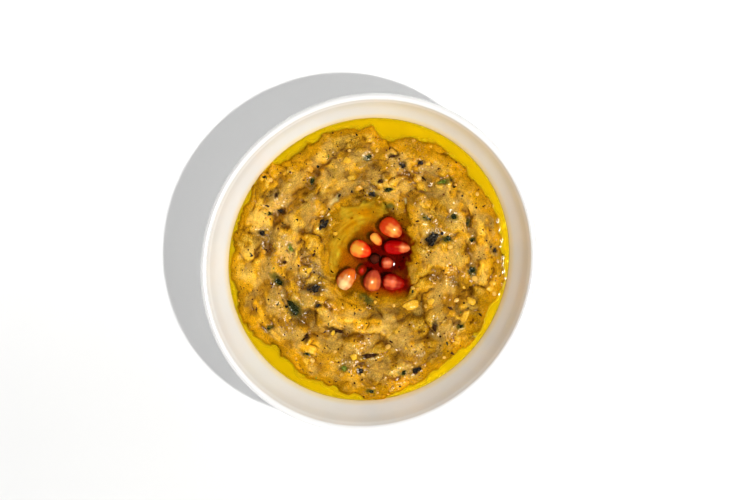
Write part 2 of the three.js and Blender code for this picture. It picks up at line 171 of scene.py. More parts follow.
# The largest bits: place in the layout, length, width, turn in degrees and kind.
LARGE_BITS = (
    (28.3, 9.5, 8.0, 5.3, 65, "char"), (34.9, 9.9, 4.4, 3.5, 0, "herb"), (8.1, 24.4, 5.8, 3.1, -10, "herb"),
    (1.4, 29.7, 4.4, 2.7, -10, "char"), (14.8, 42.3, 3.5, 2.7, 0, "char"), (23.4, 44.0, 3.5, 2.2, 20, "char"),
    (-33.6, -21.3, 9.7, 5.3, -60, "herb"), (-41.6, -8.7, 8.0, 3.5, -50, "herb"),
    (-25.0, -12.5, 7.1, 4.0, 0, "char"), (-23.4, -20.3, 3.5, 1.8, 10, "char"),
    (-15.3, -31.5, 8.8, 2.7, -12, "skin"), (-20.5, 16.3, 5.8, 4.0, 50, "char"),
    (-48.1, 12.3, 3.5, 2.7, -30, "char"), (-25.5, 35.7, 4.0, 2.2, 80, "herb"),
    (-39.5, 22.0, 4.0, 2.2, -30, "char"), (46.2, -5.0, 4.9, 3.1, 90, "herb"),
    (29.6, -29.9, 5.8, 2.2, 90, "skin"), (21.3, -50.0, 5.3, 2.7, 35, "char"),
    (-0.7, -17.5, 7.5, 3.5, -30, "herb"), (0.4, -43.1, 8.4, 2.2, 8, "skin"),
    (33.6, 35.4, 8.4, 1.8, 15, "fresh"), (-4.0, -49.8, 3.5, 2.7, -20, "char"),
    (-11.1, -48.7, 3.1, 3.1, 0, "fresh"), (15.1, -50.8, 3.5, 2.7, 20, "herb"),
    (26.1, 19.0, 4.0, 2.2, -15, "herb"), (37.9, 19.6, 3.5, 3.1, 0, "herb"),
    (44.3, 16.6, 3.1, 1.8, 80, "herb"),
    (5.4, 35.7, 3.5, 2.2, 20, "skin"), (8.9, 31.9, 4.9, 2.2, 10, "herb"), (0.6, -59.4, 4.0, 2.2, 0, "herb"),
    (-0.5, 46.4, 4.0, 1.8, 20, "herb"), (-27.4, -42.3, 4.0, 1.8, -10, "herb"),
    (-28.2, -34.8, 4.0, 1.8, 70, "skin"), (-35.2, 5.6, 4.0, 2.2, -60, "fresh"),
    (-38.1, -0.7, 3.2, 1.6, 20, "skin"), (-45.2, 21.0, 3.2, 2.0, 0, "herb"),
    (-41.2, 29.4, 3.0, 2.0, 40, "skin"), (-13.3, 28.9, 2.6, 1.4, 60, "skin"),
    (46.4, 9.0, 2.6, 1.8, 60, "herb"), (41.1, -29.9, 2.8, 1.8, 10, "herb"), (56.6, 4.2, 2.8, 1.6, 80, "char"),
    (-8.5, 20.5, 2.4, 1.8, 30, "skin"), (11.0, 46.9, 4.2, 1.4, 10, "skin"),
    (-44.7, -30.4, 3.4, 1.6, 20, "herb"),
)
LARGE_BIT_SCALE = 0.88
LARGE_BIT_THICKNESS = 0.45
LARGE_BIT_LIFT = -0.16
BIT_GRID = (26, 8)

# Herb, char and skin: the dark tone, the share of gloss, how the small ones are scattered (see scatter) and
# how each is formed (see lenses).
BITS = {
    "herb": (
        (0.008, 0.012, 0.003), 0.5, (26, (1.0, 2.6), (0.4, 0.8), 0.14, -0.05, 71),
        dict(ragged=0.12, pointed=0.2, wave=0.9, follow=0.8),
    ),
    "char": (
        (0.010, 0.008, 0.006), 0.2, (24, (0.8, 2.0), (0.4, 0.9), 0.18, -0.05, 72),
        dict(ragged=0.16, wave=0.6, follow=0.8),
    ),
    "skin": (
        (0.030, 0.012, 0.004), 0.1, (130, (0.9, 3.4), (0.18, 0.4), 0.12, -0.04, 73),
        dict(ragged=0.14, pointed=0.2, wave=0.6),
    ),
    "fresh": (
        (0.08, 0.11, 0.01), 0.35, (9, (1.2, 2.6), (0.3, 0.5), 0.10, 0.0, 74),
        dict(ragged=0.10, pointed=0.30, wave=0.6),
    ),
}

# The largest yellow bits: place in the layout, length, width and turn.
YELLOW_BITS = (
    (19.0, -20.2, 7.4, 4.2, 15), (27.8, -18.4, 3.2, 2.6, 40), (46.0, -18.4, 4.6, 3.0, -35),
    (43.3, -25.0, 5.6, 2.8, 60), (-9.8, 44.9, 3.4, 2.8, 0), (55.7, -10.4, 3.0, 2.8, 0),
    (54.4, -12.7, 3.2, 2.6, 20), (26.5, 43.4, 2.2, 1.8, 10),
)

# The arils: length, width, turn and pitch in degrees, then flesh and seed tones, and the seed's shift and
# reach.
ARILS = (
    (11.0, 8.2, -35, 12, (0.64, 0.042, 0.003), (0.95, 0.43, 0.073), 0.34, 0.46),
    (6.6, 4.4, -49, 0, (0.80, 0.08, 0.008), (1.0, 0.45, 0.059), -0.25, 0.80),
    (9.8, 7.8, -20, 8, (1.0, 0.038, 0.007), (0.80, 0.38, 0.038), -0.30, 0.70),
    (12.0, 6.4, -3, 10, (0.45, 0.0015, 0.001), (0.95, 0.30, 0.08), 0.70, 0.40),
    (5.8, 5.6, 0, 0, (0.42, 0.012, 0.003), (0.93, 0.27, 0.098), 0.0, 0.46),
    (5.2, 4.8, 20, 0, (0.065, 0.010, 0.005), (0.11, 0.014, 0.006), 0.0, 0.40),
    (5.6, 4.0, 60, 0, (0.55, 0.010, 0.002), (0.62, 0.015, 0.004), -0.2, 0.80),
    (11.0, 7.4, 57, 14, (0.72, 0.15, 0.010), (0.98, 0.70, 0.29), -0.40, 0.62),
    (10.0, 7.8, 80, 6, (0.48, 0.06, 0.022), (0.85, 0.225, 0.034), -0.25, 0.56),
    (10.2, 7.4, -10, -8, (0.33, 0.003, 0.0015), (0.90, 0.165, 0.052), -0.26, 0.48),
)
ARIL_TAPER = 0.22
ARIL_FACETS = 5
ARIL_FACET_DEPTH = 0.05
ARIL_FLATNESS = 0.9
# How far painted shade darkens the flesh on the arils' lower sides, in red, green and blue.
ARIL_EDGE_SHADE = (0.48, 0.85, 0.85)
ARIL_GRID = (64, 44)
SEED_SOFTNESS = 0.45

# The lamp and the camera, seen from the middle: azimuth from u and elevation, in degrees. The radii are of
# the lamp that lights and of the one that makes glints, in metres.
LAMP_SIGHT = (-16.4, 71.6)
LAMP_COLOUR = (1.0, 0.99, 0.97)
LAMP_RADII = (0.013, 0.030)
CAMERA_SIGHT = (90, 86)
CAMERA_TARGET = (2.72, 5.95)
SENSOR_WIDTH = 36.0
PICTURE_WIDTH = 750
PIXELS_PER_MM = 2.26
CLIP_DISTANCES = (0.05, 20.0)
TABLE_HALF = 3.0

# How soft the creases between the pillows of mash are.
CREASE = 0.12

# The raster that holds the relief, in the serving's layout.
CELL = 0.2
CELLS = 660
REACH = CELL * CELLS / 2


# ---------------------------------------------------------------- settings


def length(name, description, default):
    """A length property, in metres."""
    return FloatProperty(name=name, description=description, default=default, unit="LENGTH", precision=5)


def colour(name, description, default):
    """A linear colour property."""
    limits = {"subtype": "COLOR", "min": 0, "max": 1}
    return FloatVectorProperty(name=name, description=description, default=default, **limits)


class BowlSettings(bpy.types.PropertyGroup):
    rim: length("Rim thickness", "Thickness of the rounded rim", RIM_THICKNESS * MM)
    glaze: colour("Glaze", "Colour of the glaze", (0.86, 0.89, 0.89))
    outer: colour("Outer glaze", "Colour of the glaze outside", (0.88, 0.88, 0.875))
    pore: colour("Pore", "Colour of the pinholes", (0.45, 0.38, 0.30))
    edge: colour("Edge", "Colour of the thin glaze on the rim", (0.82, 0.81, 0.80))
    # Painted shade: warm bounce light and the rim's shadow on the inner wall's shaded side.
    stain_and_shade: colour("Stain", "Colour of the inner glaze on the side where oil has dried", (0.62, 0.47, 0.24))
    # Also a painted warm reflection of the oil and mash on the glaze just above the oil.
    film_and_reflection: colour("Film", "Colour of the glaze under a film of oil", (0.93, 0.77, 0.40))
    sides: IntProperty(name="Sides", description="Number of sides round the bowl", default=288)


class MashSettings(bpy.types.PropertyGroup):
    grid: IntProperty(name="Grid", description="Squares along each side of the mash's surface", default=430)
    medium: IntProperty(name="Medium lumps", description="Number of medium lumps", default=420)
    small: IntProperty(name="Small lumps", description="Number of small lumps", default=1700)
    tan: colour("Tan", "Colour of the plain pulp", (0.36, 0.160, 0.008))
    gold: colour("Gold", "Colour of the golden lumps", (0.65, 0.312, 0.008))
    pale: colour("Pale", "Colour of the palest pulp", (0.88, 0.525, 0.055))
    grey: colour("Grey", "Colour of the glassy grey-brown pulp", (0.24, 0.130, 0.022))
    soaked: colour("Soaked", "Colour of pulp that is soaked with oil", (0.52, 0.24, 0.0015))
    # Painted shade: the colour that darkens the hollows between the lumps.
    crevice_shade: colour("Crevice", "Colour deep between the lumps", (0.11, 0.031, 0.0005))
    straw: colour("Straw", "Colour of the paler, duller patches", (0.60, 0.37, 0.075))
    cream: colour("Cream", "Colour under deep oil", (1.0, 0.86, 0.34))
    dot: colour("Dot", "Colour of the seed dust", (0.12, 0.028, 0.004))
    leafy: colour("Leafy stain", "Colour of pulp round a herb", (0.075, 0.075, 0.010))
    burnt: colour("Burnt stain", "Colour of pulp round char and skin", (0.045, 0.022, 0.008))


class OilSettings(bpy.types.PropertyGroup):
    thin: colour("Thin oil", "Tint of light that passes thin oil", (1.0, 0.95, 0.40))
    deep: colour("Deep oil", "Tint of light that passes deep oil", (0.955, 0.815, 0.006))
    well: colour("Well oil", "Tint of light that passes the oil in the well", (0.99, 0.66, 0.012))
    cloud: colour("Cloud", "Glow of the faint cloud in the oil", (0.95, 0.60, 0.002))
    brown: colour("Brown", "Glow of the cloud in the well", (0.80, 0.36, 0.01))
    # Also laid as painted shade on the well's shaded right side and round the arils.
    juice: colour("Juice", "Tint of the oil between the arils", (0.62, 0.045, 0.002))
    meniscus: length("Meniscus", "How far the oil climbs what it touches", 0.00025)


class GarnishSettings(bpy.types.PropertyGroup):
    herb: colour("Herb", "Colour of the dark herb", (0.040, 0.050, 0.014))
    fresh: colour("Fresh herb", "Colour of the light herb strips", (0.20, 0.24, 0.018))
    char: colour("Char", "Colour of the charred skin", (0.042, 0.033, 0.024))
    skin: colour("Skin", "Colour of the brown skin", (0.075, 0.032, 0.012))
    speck: colour("Speck", "Colour of the specks", (0.15, 0.046, 0.012))
    seed: colour("Seed", "Colour of the pale seeds", (0.85, 0.50, 0.09))
    kernel: colour("Kernel", "Colour of the bright yellow bits", (0.90, 0.52, 0.03))
    specks: IntProperty(name="Specks", description="Number of specks", default=1700)
    seeds: IntProperty(name="Seeds", description="Number of pale seeds", default=60)


class StageSettings(bpy.types.PropertyGroup):
    floor: colour("Floor", "Colour of the table's far side", (1.0, 1.0, 1.0))
    near: colour("Near floor", "Colour of the table's near side", (0.85, 0.85, 0.85))
    cool: colour("Cool side", "Colour of the light from the right", (0.975, 0.985, 0.98))
    warmth: colour("Warmth", "Colour of the studio's left wall", (0.985, 0.98, 0.975))
    key: FloatProperty(name="Key", description="Strength of the lamp", default=2.1)
    fill: FloatProperty(name="Fill", description="Brightness of the studio's walls", default=0.94)
    slant: FloatProperty(name="Slant", description="How much brighter the near wall is", default=0.3)
    sparkle: FloatProperty(name="Sparkle", description="Strength of the lamp's glints", default=12.0)
    dim: FloatProperty(name="Dim", description="How much darker the walls are in reflections", default=0.75)
    reach: length("Reach", "Lamp's distance from the bowl", 1.055)
    distance: length("Distance", "Camera's distance from the rim", 1.25)


# ---------------------------------------------------------------- meshes


def grid_quads(rows, columns, closed=False, first=0):
    """Faces of a grid of points: each joins a point to the next in its row and in the row after.
    A closed grid's last column joins its first."""
    last = columns if closed else columns - 1
    r, c = np.meshgrid(np.arange(rows - 1), np.arange(last), indexing="ij")
    here, there = r * columns + c, r * columns + (c + 1) % columns
    return np.stack([here, there, there + columns, here + columns], -1).reshape(-1, 4) + first


def fan(pole, ring, flip=False):
    """Triangles that join each side of a closed ring to a pole."""
    after = np.roll(ring, -1)
    rows = [np.full(len(ring), pole), after, ring] if flip else [np.full(len(ring), pole), ring, after]
    return np.stack(rows, -1)


def capped(count, sides, inward=False):
    """Faces of rings of points that close to a pole at each end. The two poles' points come last."""
    quads = grid_quads(count, sides, closed=True)
    first = np.arange(sides)
    last = first + (count - 1) * sides
    ends = [fan(count * sides, first, flip=not inward), fan(count * sides + 1, last, flip=inward)]
    return quads[:, ::-1] if inward else quads, np.vstack(ends)


def build_piece(name, points, quads, tris, finish, slot, replaced=(), **attributes):
    """One smooth mesh from whole arrays, with its finish and attributes, riding on the body."""
    mesh = bpy.data.meshes.new(name)
    faces = [part for part in (quads, tris) if len(part)]
    corners = np.concatenate([part.ravel() for part in faces]).astype(np.int32)
    totals = np.concatenate([np.full(len(part), part.shape[1]) for part in faces])
    starts = (np.cumsum(totals) - totals).astype(np.int32)
    mesh.vertices.add(len(points))
    mesh.vertices.foreach_set("co", (np.asarray(points) * MM).astype(np.float32).ravel())
    mesh.loops.add(len(corners))
    mesh.loops.foreach_set("vertex_index", corners)
    mesh.polygons.add(len(totals))
    mesh.polygons.foreach_set("loop_start", starts)
    mesh.update(calc_edges=True)
    if mesh.validate():
        raise RuntimeError(f"{name}: the mesh had faults")
    for key, values in attributes.items():
        values = np.column_stack([values, np.ones(len(values))]).astype(np.float32)
        mesh.attributes.new(key, "FLOAT_COLOR", "POINT").data.foreach_set("color", values.ravel())
    mesh.shade_smooth()
    mesh.materials.append(finish)
    piece = bpy.data.objects.new(name, mesh)
    bpy.context.scene.collection.objects.link(piece)
    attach(piece, BODY)
    if replaced:
        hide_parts(*replaced)
    return piece


# ---------------------------------------------------------------- the serving's forms


def turned(a, b, angle):
    """Coordinates read from axes that are turned by an angle."""
    c, s = np.cos(angle), np.sin(angle)
    return a * c + b * s, b * c - a * s


def from_layout(u, v):
    """Turn a place in the layout into the bowl's X and Y."""
    return turned(u, v, LAYOUT_TURN)


def to_layout(x, y):
    """Turn the bowl's X and Y into a place in the layout."""
    return turned(x, y, -LAYOUT_TURN)


def wall_height(share, bottom):
    """Height of the wall where it has this share of its full radius, which grows as a power of height."""
    return bottom + (BOWL_HEIGHT - bottom) * share ** (1 / WALL_POWER)


def inner_radius(z):
    """Mean inner radius of the bowl at a height."""
    share = np.clip((np.asarray(z, float) - INNER_BOTTOM) / (BOWL_HEIGHT - INNER_BOTTOM), 0, None)
    return (BOWL_RADIUS - RIM_THICKNESS) * share ** WALL_POWER


def inner_height(radius):
    """Height of the bowl's inner wall at a mean radius."""
    return wall_height(np.asarray(radius, float) / (BOWL_RADIUS - RIM_THICKNESS), INNER_BOTTOM)


def smooth(low, high, value):
    """Share from 0 at low to 1 at high, level at both ends."""
    share = np.clip((value - low) / (high - low), 0, 1)
    return share * share * (3 - 2 * share)


def bell(value):
    """A bell-shaped share: exp(-value squared)."""
    return np.exp(-(value**2))


def around_list(values, angle):
    """A closed list of values, read at an angle and eased between neighbours."""
    place = (angle / (2 * math.pi)) % 1 * len(values)
    index = np.floor(place).astype(int)
    share = smooth(0, 1, place - index)
    return values[index % len(values)] * (1 - share) + values[(index + 1) % len(values)] * share


def lcg(seed):
    """Random numbers from 0 to 1 by the rule state = state * 1664525 + 1013904223, kept to 32 bits."""
    state = seed
    while True:
        state = (state * 1664525 + 1013904223) % 2**32
        yield state / 2**32


def stroke_path(points, steps=28):
    """A stroke's centreline: a Catmull-Rom curve through its points, with its ends carried on."""
    p = np.array(points, float)
    p = np.vstack([2 * p[0] - p[1], p, 2 * p[-1] - p[-2]])
    t = np.linspace(0, len(points) - 1, steps + 1)
    i = np.minimum(t.astype(int), len(points) - 2)
    w = (t - i)[:, None]
    a, b, c, d = p[i], p[i + 1], p[i + 2], p[i + 3]
    return 0.5 * (2 * b + (c - a) * w + (2 * a - 5 * b + 4 * c - d) * w**2 + (3 * b - a - 3 * c + d) * w**3)


def path_distance(path, u, v):
    """Signed distance from each place to a polyline, positive on its left."""
    best = np.full(u.shape, np.inf)
    signed = np.zeros(u.shape)
    for (u0, v0), (u1, v1) in zip(path[:-1], path[1:]):
        du, dv = u1 - u0, v1 - v0
        share = np.clip(((u - u0) * du + (v - v0) * dv) / (du * du + dv * dv), 0, 1)
        gap_u, gap_v = u - u0 - share * du, v - v0 - share * dv
        distance = np.hypot(gap_u, gap_v)
        nearer = distance < best
        best = np.where(nearer, distance, best)
        signed = np.where(nearer, np.where(du * gap_v - dv * gap_u < 0, -distance, distance), signed)
    return signed


def sunflower(count, reach, random, jitter):
    """Places spread evenly over a disc: the radius grows as the number's root, the turn by the golden
    angle."""
    k = np.arange(count)
    radius = reach * np.sqrt((k + 0.5) / count)
    angle = k * GOLDEN_ANGLE
    shift = jitter * (random.random((2, count)) - 0.5)
    return radius * np.cos(angle) + shift[0], radius * np.sin(angle) + shift[1]


class Relief:
    """The mash's surface as a raster of heights, and the masks that its colours follow."""

    def __init__(self, medium, small):
        axis = (np.arange(CELLS) + 0.5) * CELL - REACH
        self.u, self.v = np.meshgrid(axis, axis)
        frequency = np.fft.fftfreq(CELLS, CELL)
        self.squared = frequency[:, None] ** 2 + np.fft.rfftfreq(CELLS, CELL)[None, :] ** 2
        self.lay_shore()
        self.lay_strokes()
        self.lay_well()
        self.lay_lumps(medium, small)
        self.lay_height()
        self.lay_tones()
        self.lay_gloss()
        self.lay_stains()
        self.lay_depth()

    def blur(self, field, width):
        """A field smoothed by a bell of this width, by way of its frequencies."""
        softening = np.exp(-2 * (math.pi * width) ** 2 * self.squared)
        return np.fft.irfft2(np.fft.rfft2(field) * softening, s=field.shape)

    def noise(self, width, seed):
        """Smooth random hills of this width, about 1 high."""
        field = self.blur(np.random.default_rng(seed).standard_normal(self.u.shape), width)
        return field / field.std()

    def hills(self, *rows):
        """Noises added up: the height, width and seed of each."""
        return sum(height * self.noise(width, seed) for height, width, seed in rows)

    def warp(self, u, v, rows):
        """Places pushed about by hills, those along v having the next seeds."""
        following = [(height, width, seed + 1) for height, width, seed in rows]
        return u + self.hills(*rows), v + self.hills(*following)

    def stamp(self, places, lumps, power):
        """The upper outline of many caps, and the tint of the one that shows. A cap is its lift plus its
        height times (1 - d squared) to a power, d being the distance over the lump's radius."""
        u, v = places
        top = np.zeros(u.shape)
        tint = np.full(u.shape, 0.5)
        for lu, lv, radius, height, aspect, turn, lift, tone in zip(*lumps):
            row = slice(*self.window(lv, radius * 1.5 + 2))
            column = slice(*self.window(lu, radius * 1.5 + 2))
            along, across = turned(u[row, column] - lu, v[row, column] - lv, turn)
            d = (along / radius) ** 2 + (across / (radius * aspect)) ** 2
            cap = np.where(d < 1, lift + height * np.clip(1 - d, 0, 1) ** power, 0)
            shows = cap > top[row, column]
            top[row, column] = np.where(shows, cap, top[row, column])
            tint[row, column] = np.where(shows, tone, tint[row, column])
        return top, tint

    def window(self, middle, half):
        """First and last raster cell of a stretch."""
        low = int(np.clip((middle - half + REACH) / CELL, 0, CELLS))
        return low, int(np.clip((middle + half + REACH) / CELL, low, CELLS))

    def coarse_lumps(self):
        """The coarse lumps, as the solid has them."""
        draw = lcg(SEED)
        rows = []
        for k in range(LUMP_COUNT):
            radius, angle = LUMP_FIELD * math.sqrt((k + 0.5) / LUMP_COUNT), k * GOLDEN_ANGLE
            u = radius * math.cos(angle) + LUMP_JITTER * (next(draw) - 0.5)
            v = radius * math.sin(angle) + LUMP_JITTER * (next(draw) - 0.5)
            size = LUMP_RADIUS[0] + (LUMP_RADIUS[1] - LUMP_RADIUS[0]) * next(draw)
            height = LUMP_HEIGHT[0] + (LUMP_HEIGHT[1] - LUMP_HEIGHT[0]) * next(draw)
            rows.append((u, v, size, height, 1.0, 0.0, 0.0, (k * 0.618) % 1))
        return np.array(rows).T

    def random_lumps(self, count, radii, heights, lifts, seed):
        """Lumps of mixed size, each with its own turn, aspect and tint."""
        random = np.random.default_rng(seed)
        u, v = sunflower(count, REACH - 2, random, radii[1] * 1.4)
        share = random.random((6, count))
        size = radii[0] + (radii[1] - radii[0]) * share[0] ** 1.6
        height = (heights[0] + (heights[1] - heights[0]) * share[1]) * size / radii[1]
        turn = np.arctan2(v, u) + math.pi / 2 + 1.8 * (share[3] - 0.5)
        return u, v, size, height, 0.45 + 0.5 * share[2], turn, lifts * share[4], share[5]

    def smear(self, field, degrees, steps):
        """A field averaged over small turns about the middle, so that it streaks along the swirl."""
        total = np.zeros(field.shape)
        for turn in np.radians(np.linspace(-degrees, degrees, steps)):
            total += self.read(field, *turned(self.u, self.v, -turn))
        return total / total.std()

    def billow(self, width, degrees, seed):
        """Pillows parted by soft creases, drawn out along the swirl: 1 - exp(-1.5 (root(n n + c c) - c)) of a
        smooth noise n and a crease's softness c."""
        field = self.smear(self.noise(width, seed), degrees, 9)
        field = self.read(field, *self.warp(self.u, self.v, [(0.4, 1.1, seed + 50)]))
        return 1 - np.exp(-1.5 * (np.hypot(field, CREASE) - CREASE))

    def lay_shore(self):
        """How far inland each place is, the mash's rise there, and its fall under the oil."""
        x, y = from_layout(self.u, self.v)
        shore = inner_radius(OIL_LEVEL) - around_list(MOAT_WIDTHS, np.arctan2(self.v, self.u))
        self.inland = shore - np.hypot(x / LONG, y / SHORT) + self.hills(*SHORE_HILLS)
        self.ashore = np.clip(self.inland, 0, None)
        self.land = np.where(self.inland > 0, 1 - np.exp(-self.ashore / RISE), 0)
        outward = np.clip(self.inland, None, 0)
        self.moat = MOAT_DEPTH * (1 - np.exp(outward * CREST / (RISE * MOAT_DEPTH)))

    def lay_strokes(self):
        """The spoon's grooves: a bell for each bank, less a bell for each groove."""
        self.warped = self.warp(self.u, self.v, STROKE_HILLS)
        self.strokes = np.zeros(self.u.shape)
        patchy = 0.55 + 0.45 * smooth(-1.0, 0.8, self.noise(5.5, 46))
        for number, (depth, width, bank, points) in enumerate(STROKES):
            side = path_distance(stroke_path(points), *self.warped) / width
            if number == 0:
                self.wall_side = side
            self.strokes += bank * bell(side - BANK_OFFSET)
            self.strokes -= depth * bell(side) * (patchy if number else 0.5 + 0.5 * patchy)

    def lay_well(self):
        """The well's share of its depth: a bell with squared-off sides."""
        u, v = self.warp(*self.warped, WELL_HILLS)
        across = np.abs((u - WELL_MIDDLE[0]) / WELL_HALF[0]) ** WELL_SQUARENESS
        along = np.abs((v - WELL_MIDDLE[1]) / WELL_HALF[1]) ** WELL_SQUARENESS
        self.well = np.exp(-((across + along) ** (WELL_POWER / WELL_SQUARENESS)))

    def lay_lumps(self, medium, small):
        """The lumps, coarse to fine, with folds and streaks between them, and their tints."""
        (chunk_form, chunk_power), (crumb_form, crumb_power) = CHUNKS, CRUMBS
        coarse, coarse_tint = self.stamp(self.warped, self.coarse_lumps(), 1.0)
        chunks, chunk_tint = self.stamp(self.warped, self.random_lumps(medium, *chunk_form), chunk_power)
        places = self.warp(self.u, self.v, CRUMB_HILLS)
        crumbs, crumb_tint = self.stamp(places, self.random_lumps(small, *crumb_form), crumb_power)
        chunky = smooth(-0.6, 1.2, self.noise(4.5, 43))
        folds = 1.9 * self.billow(3.0, 5.0, 47) - 1.9
        folds += (0.45 + 0.65 * chunky) * self.billow(1.2, 2.0, 48) + 0.16 * self.billow(0.5, 1.0, 49)
        self.lumps = coarse + folds + chunky * (self.blur(chunks, 0.16) + self.blur(crumbs, 0.10))
        self.lumps += 0.07 * self.smear(self.noise(0.28, 37), 5.0, 15)
        fine_tint = 0.8 * (0.75 * chunk_tint + 0.25 * crumb_tint - 0.5) * (0.2 + 0.8 * chunky)
        self.tint = 0.45 + fine_tint + 0.25 * (coarse_tint - 0.5)

    def lay_height(self):
        """Height = oil level + land share * (crest + dome + strokes + lumps - well) - moat."""
        dome = DOME * (1 - (np.hypot(self.u, self.v) / inner_radius(OIL_LEVEL)) ** 2)
        self.lip = bell(path_distance(stroke_path(LIP), self.u, self.v) / LIP_WIDTH)
        calm = np.clip(WELL_SMOOTHING * self.well + 0.8 * self.lip, 0, 0.93)
        relief = dome + self.strokes + self.lumps * (1 - calm) - WELL_DEPTH * self.well + 0.7 * self.lip
        fringe = 0.6 * (1 - self.land) * self.lumps * smooth(-1.4, 0.0, self.inland)
        self.height = OIL_LEVEL + self.land * (CREST + relief) - self.moat + fringe

    def lay_tones(self):
        """Where shade is painted into the mash's hollows, the well's shaded places and the groove's far side;
        where the mash is pale or tan, its tint lowered in the hollows as a further painted shade; where it is
        soaked with oil; and where it is grey.
        """
        u, v = self.u, self.v
        depths = [self.blur(self.height, width) - self.height for width, *_ in HOLLOWS]
        _, near, wide = depths
        hollow_shade = sum(share * smooth(low, high, d) for d, (_, low, high, share) in zip(depths, HOLLOWS))
        # Painted shadow on the groove's side that faces away from the lamp.
        (au, av), reach, side, width = GROOVE_SHADOW
        groove_shadow = np.exp(-((u - au) ** 2 + (v - av) ** 2) / reach) * bell((self.wall_side - side) / width)
        hollow_shade = (hollow_shade + 0.9 * groove_shadow) * (1 - 0.95 * self.well) * (self.land > 0)
        self.hollow_shade = np.clip(hollow_shade, 0, 1)
        for su, sv, across, along, depth in WELL_SHADES:
            self.hollow_shade = np.maximum(self.hollow_shade, depth * bell((u - su) / across) * bell((v - sv) / along))
        # The tint is lowered in the hollows, a painted shade that leaves the tops paler.
        self.tint = np.clip(self.tint - 0.45 * near - 0.12 * wide + 0.14 * self.noise(3.0, 50), 0, 1)
        soak = bell(self.ashore / 2.8) + 0.88 * bell(self.ashore / 8) * smooth(-1.0, 0.6, self.noise(4.0, 55))
        soak += 0.5 * smooth(0, 0.3, self.well) + 0.6 * bell((u - 3) / 10) * bell((v + 16) / 3.5)
        self.soak = np.clip(soak, 0, 1)
        self.grey = smooth(-0.2, 1.9, self.noise(4.2, 51) + 0.5 * self.noise(1.2, 52) + 0.8 * near)
        for bu, bv, size, width, *_ in LARGE_BITS:
            self.grey += 0.55 * np.exp(-(((u - bu) ** 2 + (v - bv) ** 2) / (0.3 * size * width + 2)))

    def lay_gloss(self):
        """Where the mash is rough, and where its skin is wet."""
        rough = smooth(0.5, 1.4, self.noise(2.8, 53) + 0.3 * self.noise(0.8, 54))
        self.rough = np.maximum(rough * (1 - smooth(0, 0.3, self.well)), 0.12 * (1 - self.lip))
        crest = bell((self.wall_side - 1.25) / 0.3) * smooth(-0.2, 1.0, self.noise(3.2, 58))
        streak = 0.6 * self.lip**4 * smooth(0, 3, self.v) * (1 - smooth(10, 13, self.v))
        film_and_reflection = 0.4 * smooth(-0.4, 0.8, self.noise(1.8, 59)) * (1 - self.well)
        self.wet = np.maximum.reduce([self.rough, crest, streak, film_and_reflection])

    def lay_stains(self):
        """The stained and wetter pulp round the largest bits."""
        self.green, self.black = np.zeros(self.u.shape), np.zeros(self.u.shape)
        su, sv = self.warp(self.u, self.v, STAIN_HILLS)
        for bu, bv, size, width, turn, kind in LARGE_BITS:
            along, across = turned(su - bu, sv - bv, math.radians(turn))
            d = (along / (size / 2 + 0.25)) ** 2 + (across / (width / 2 + 0.25)) ** 2
            halo = bell((d - 2.0) / 1.1) * (1 - self.well)
            self.wet = np.maximum(self.wet, 0.9 * halo)
            self.rough = np.maximum(self.rough, 0.6 * halo)
            stained = self.black if kind in ("char", "skin") else self.green
            np.maximum(stained, bell(d), out=stained)

    def lay_depth(self):
        """Where the mash lies under deep oil, and the pale crescent in the well."""
        self.deep = smooth(0.0, 1.5, OIL_LEVEL - self.height) * (self.land <= 0)
        crescent = smooth(-1.5, 1.5, path_distance(stroke_path(CRESCENT), self.u, self.v))
        crescent = crescent * smooth(0.0, 1.2, POOL_LEVEL - self.height) * smooth(0, 0.1, self.well)
        drawn = np.clip(0.9 + 0.15 * self.smear(self.noise(0.35, 75), 7.0, 15), 0.2, 1.5)
        self.deep = np.maximum(self.deep, 0.66 * drawn * crescent)

    def read(self, field, u, v):
        """A field of the raster between its cells, in proportion to how near each is."""
        column = np.clip((np.asarray(u) + REACH) / CELL - 0.5, 0, CELLS - 1.001)
        row = np.clip((np.asarray(v) + REACH) / CELL - 0.5, 0, CELLS - 1.001)
        c, r = column.astype(int), row.astype(int)
        fc, fr = column - c, row - r
        low = field[r, c] * (1 - fc) + field[r, c + 1] * fc
        high = field[r + 1, c] * (1 - fc) + field[r + 1, c + 1] * fc
        return low * (1 - fr) + high * fr

    def masks(self, u, v, *fields):
        """Three fields read at some places, side by side as an attribute's red, green and blue."""
        return np.stack([self.read(field, u, v) for field in fields], -1)


@functools.cache
def relief():
    """The one relief that all pieces share."""
    settings = bpy.context.scene.serving_mash
    return Relief(settings.medium, settings.small)


# ---------------------------------------------------------------- finishes


class Term:
    """A shader socket that takes part in Python sums: each sum adds one Math node."""

    def __init__(self, finish, socket):
        self.finish = finish
        self.socket = socket

    def math(self, operation, *others):
        """This socket and the others, put through one Math node."""
        return self.finish.node("ShaderNodeMath", {"operation": operation}, dict(enumerate((self, *others))))

    def __add__(self, other):
        return self.math("ADD", other)

    def __mul__(self, other):
        return self.math("MULTIPLY", other)

    def __sub__(self, other):
        return self.math("SUBTRACT", other)

    def __rsub__(self, other):
        return self * -1 + other

    def __truediv__(self, other):
        return self.math("DIVIDE", other)

    def __pow__(self, other):
        return self.math("POWER", other)

    __radd__ = __add__
    __rmul__ = __mul__

    def step(self, low, high):
        """Share from 0 at low to 1 at high."""
        settings = {"interpolation_type": "SMOOTHSTEP"}
        sockets = {"Value": self, "From Min": low, "From Max": high}
        return self.finish.node("ShaderNodeMapRange", settings, sockets)


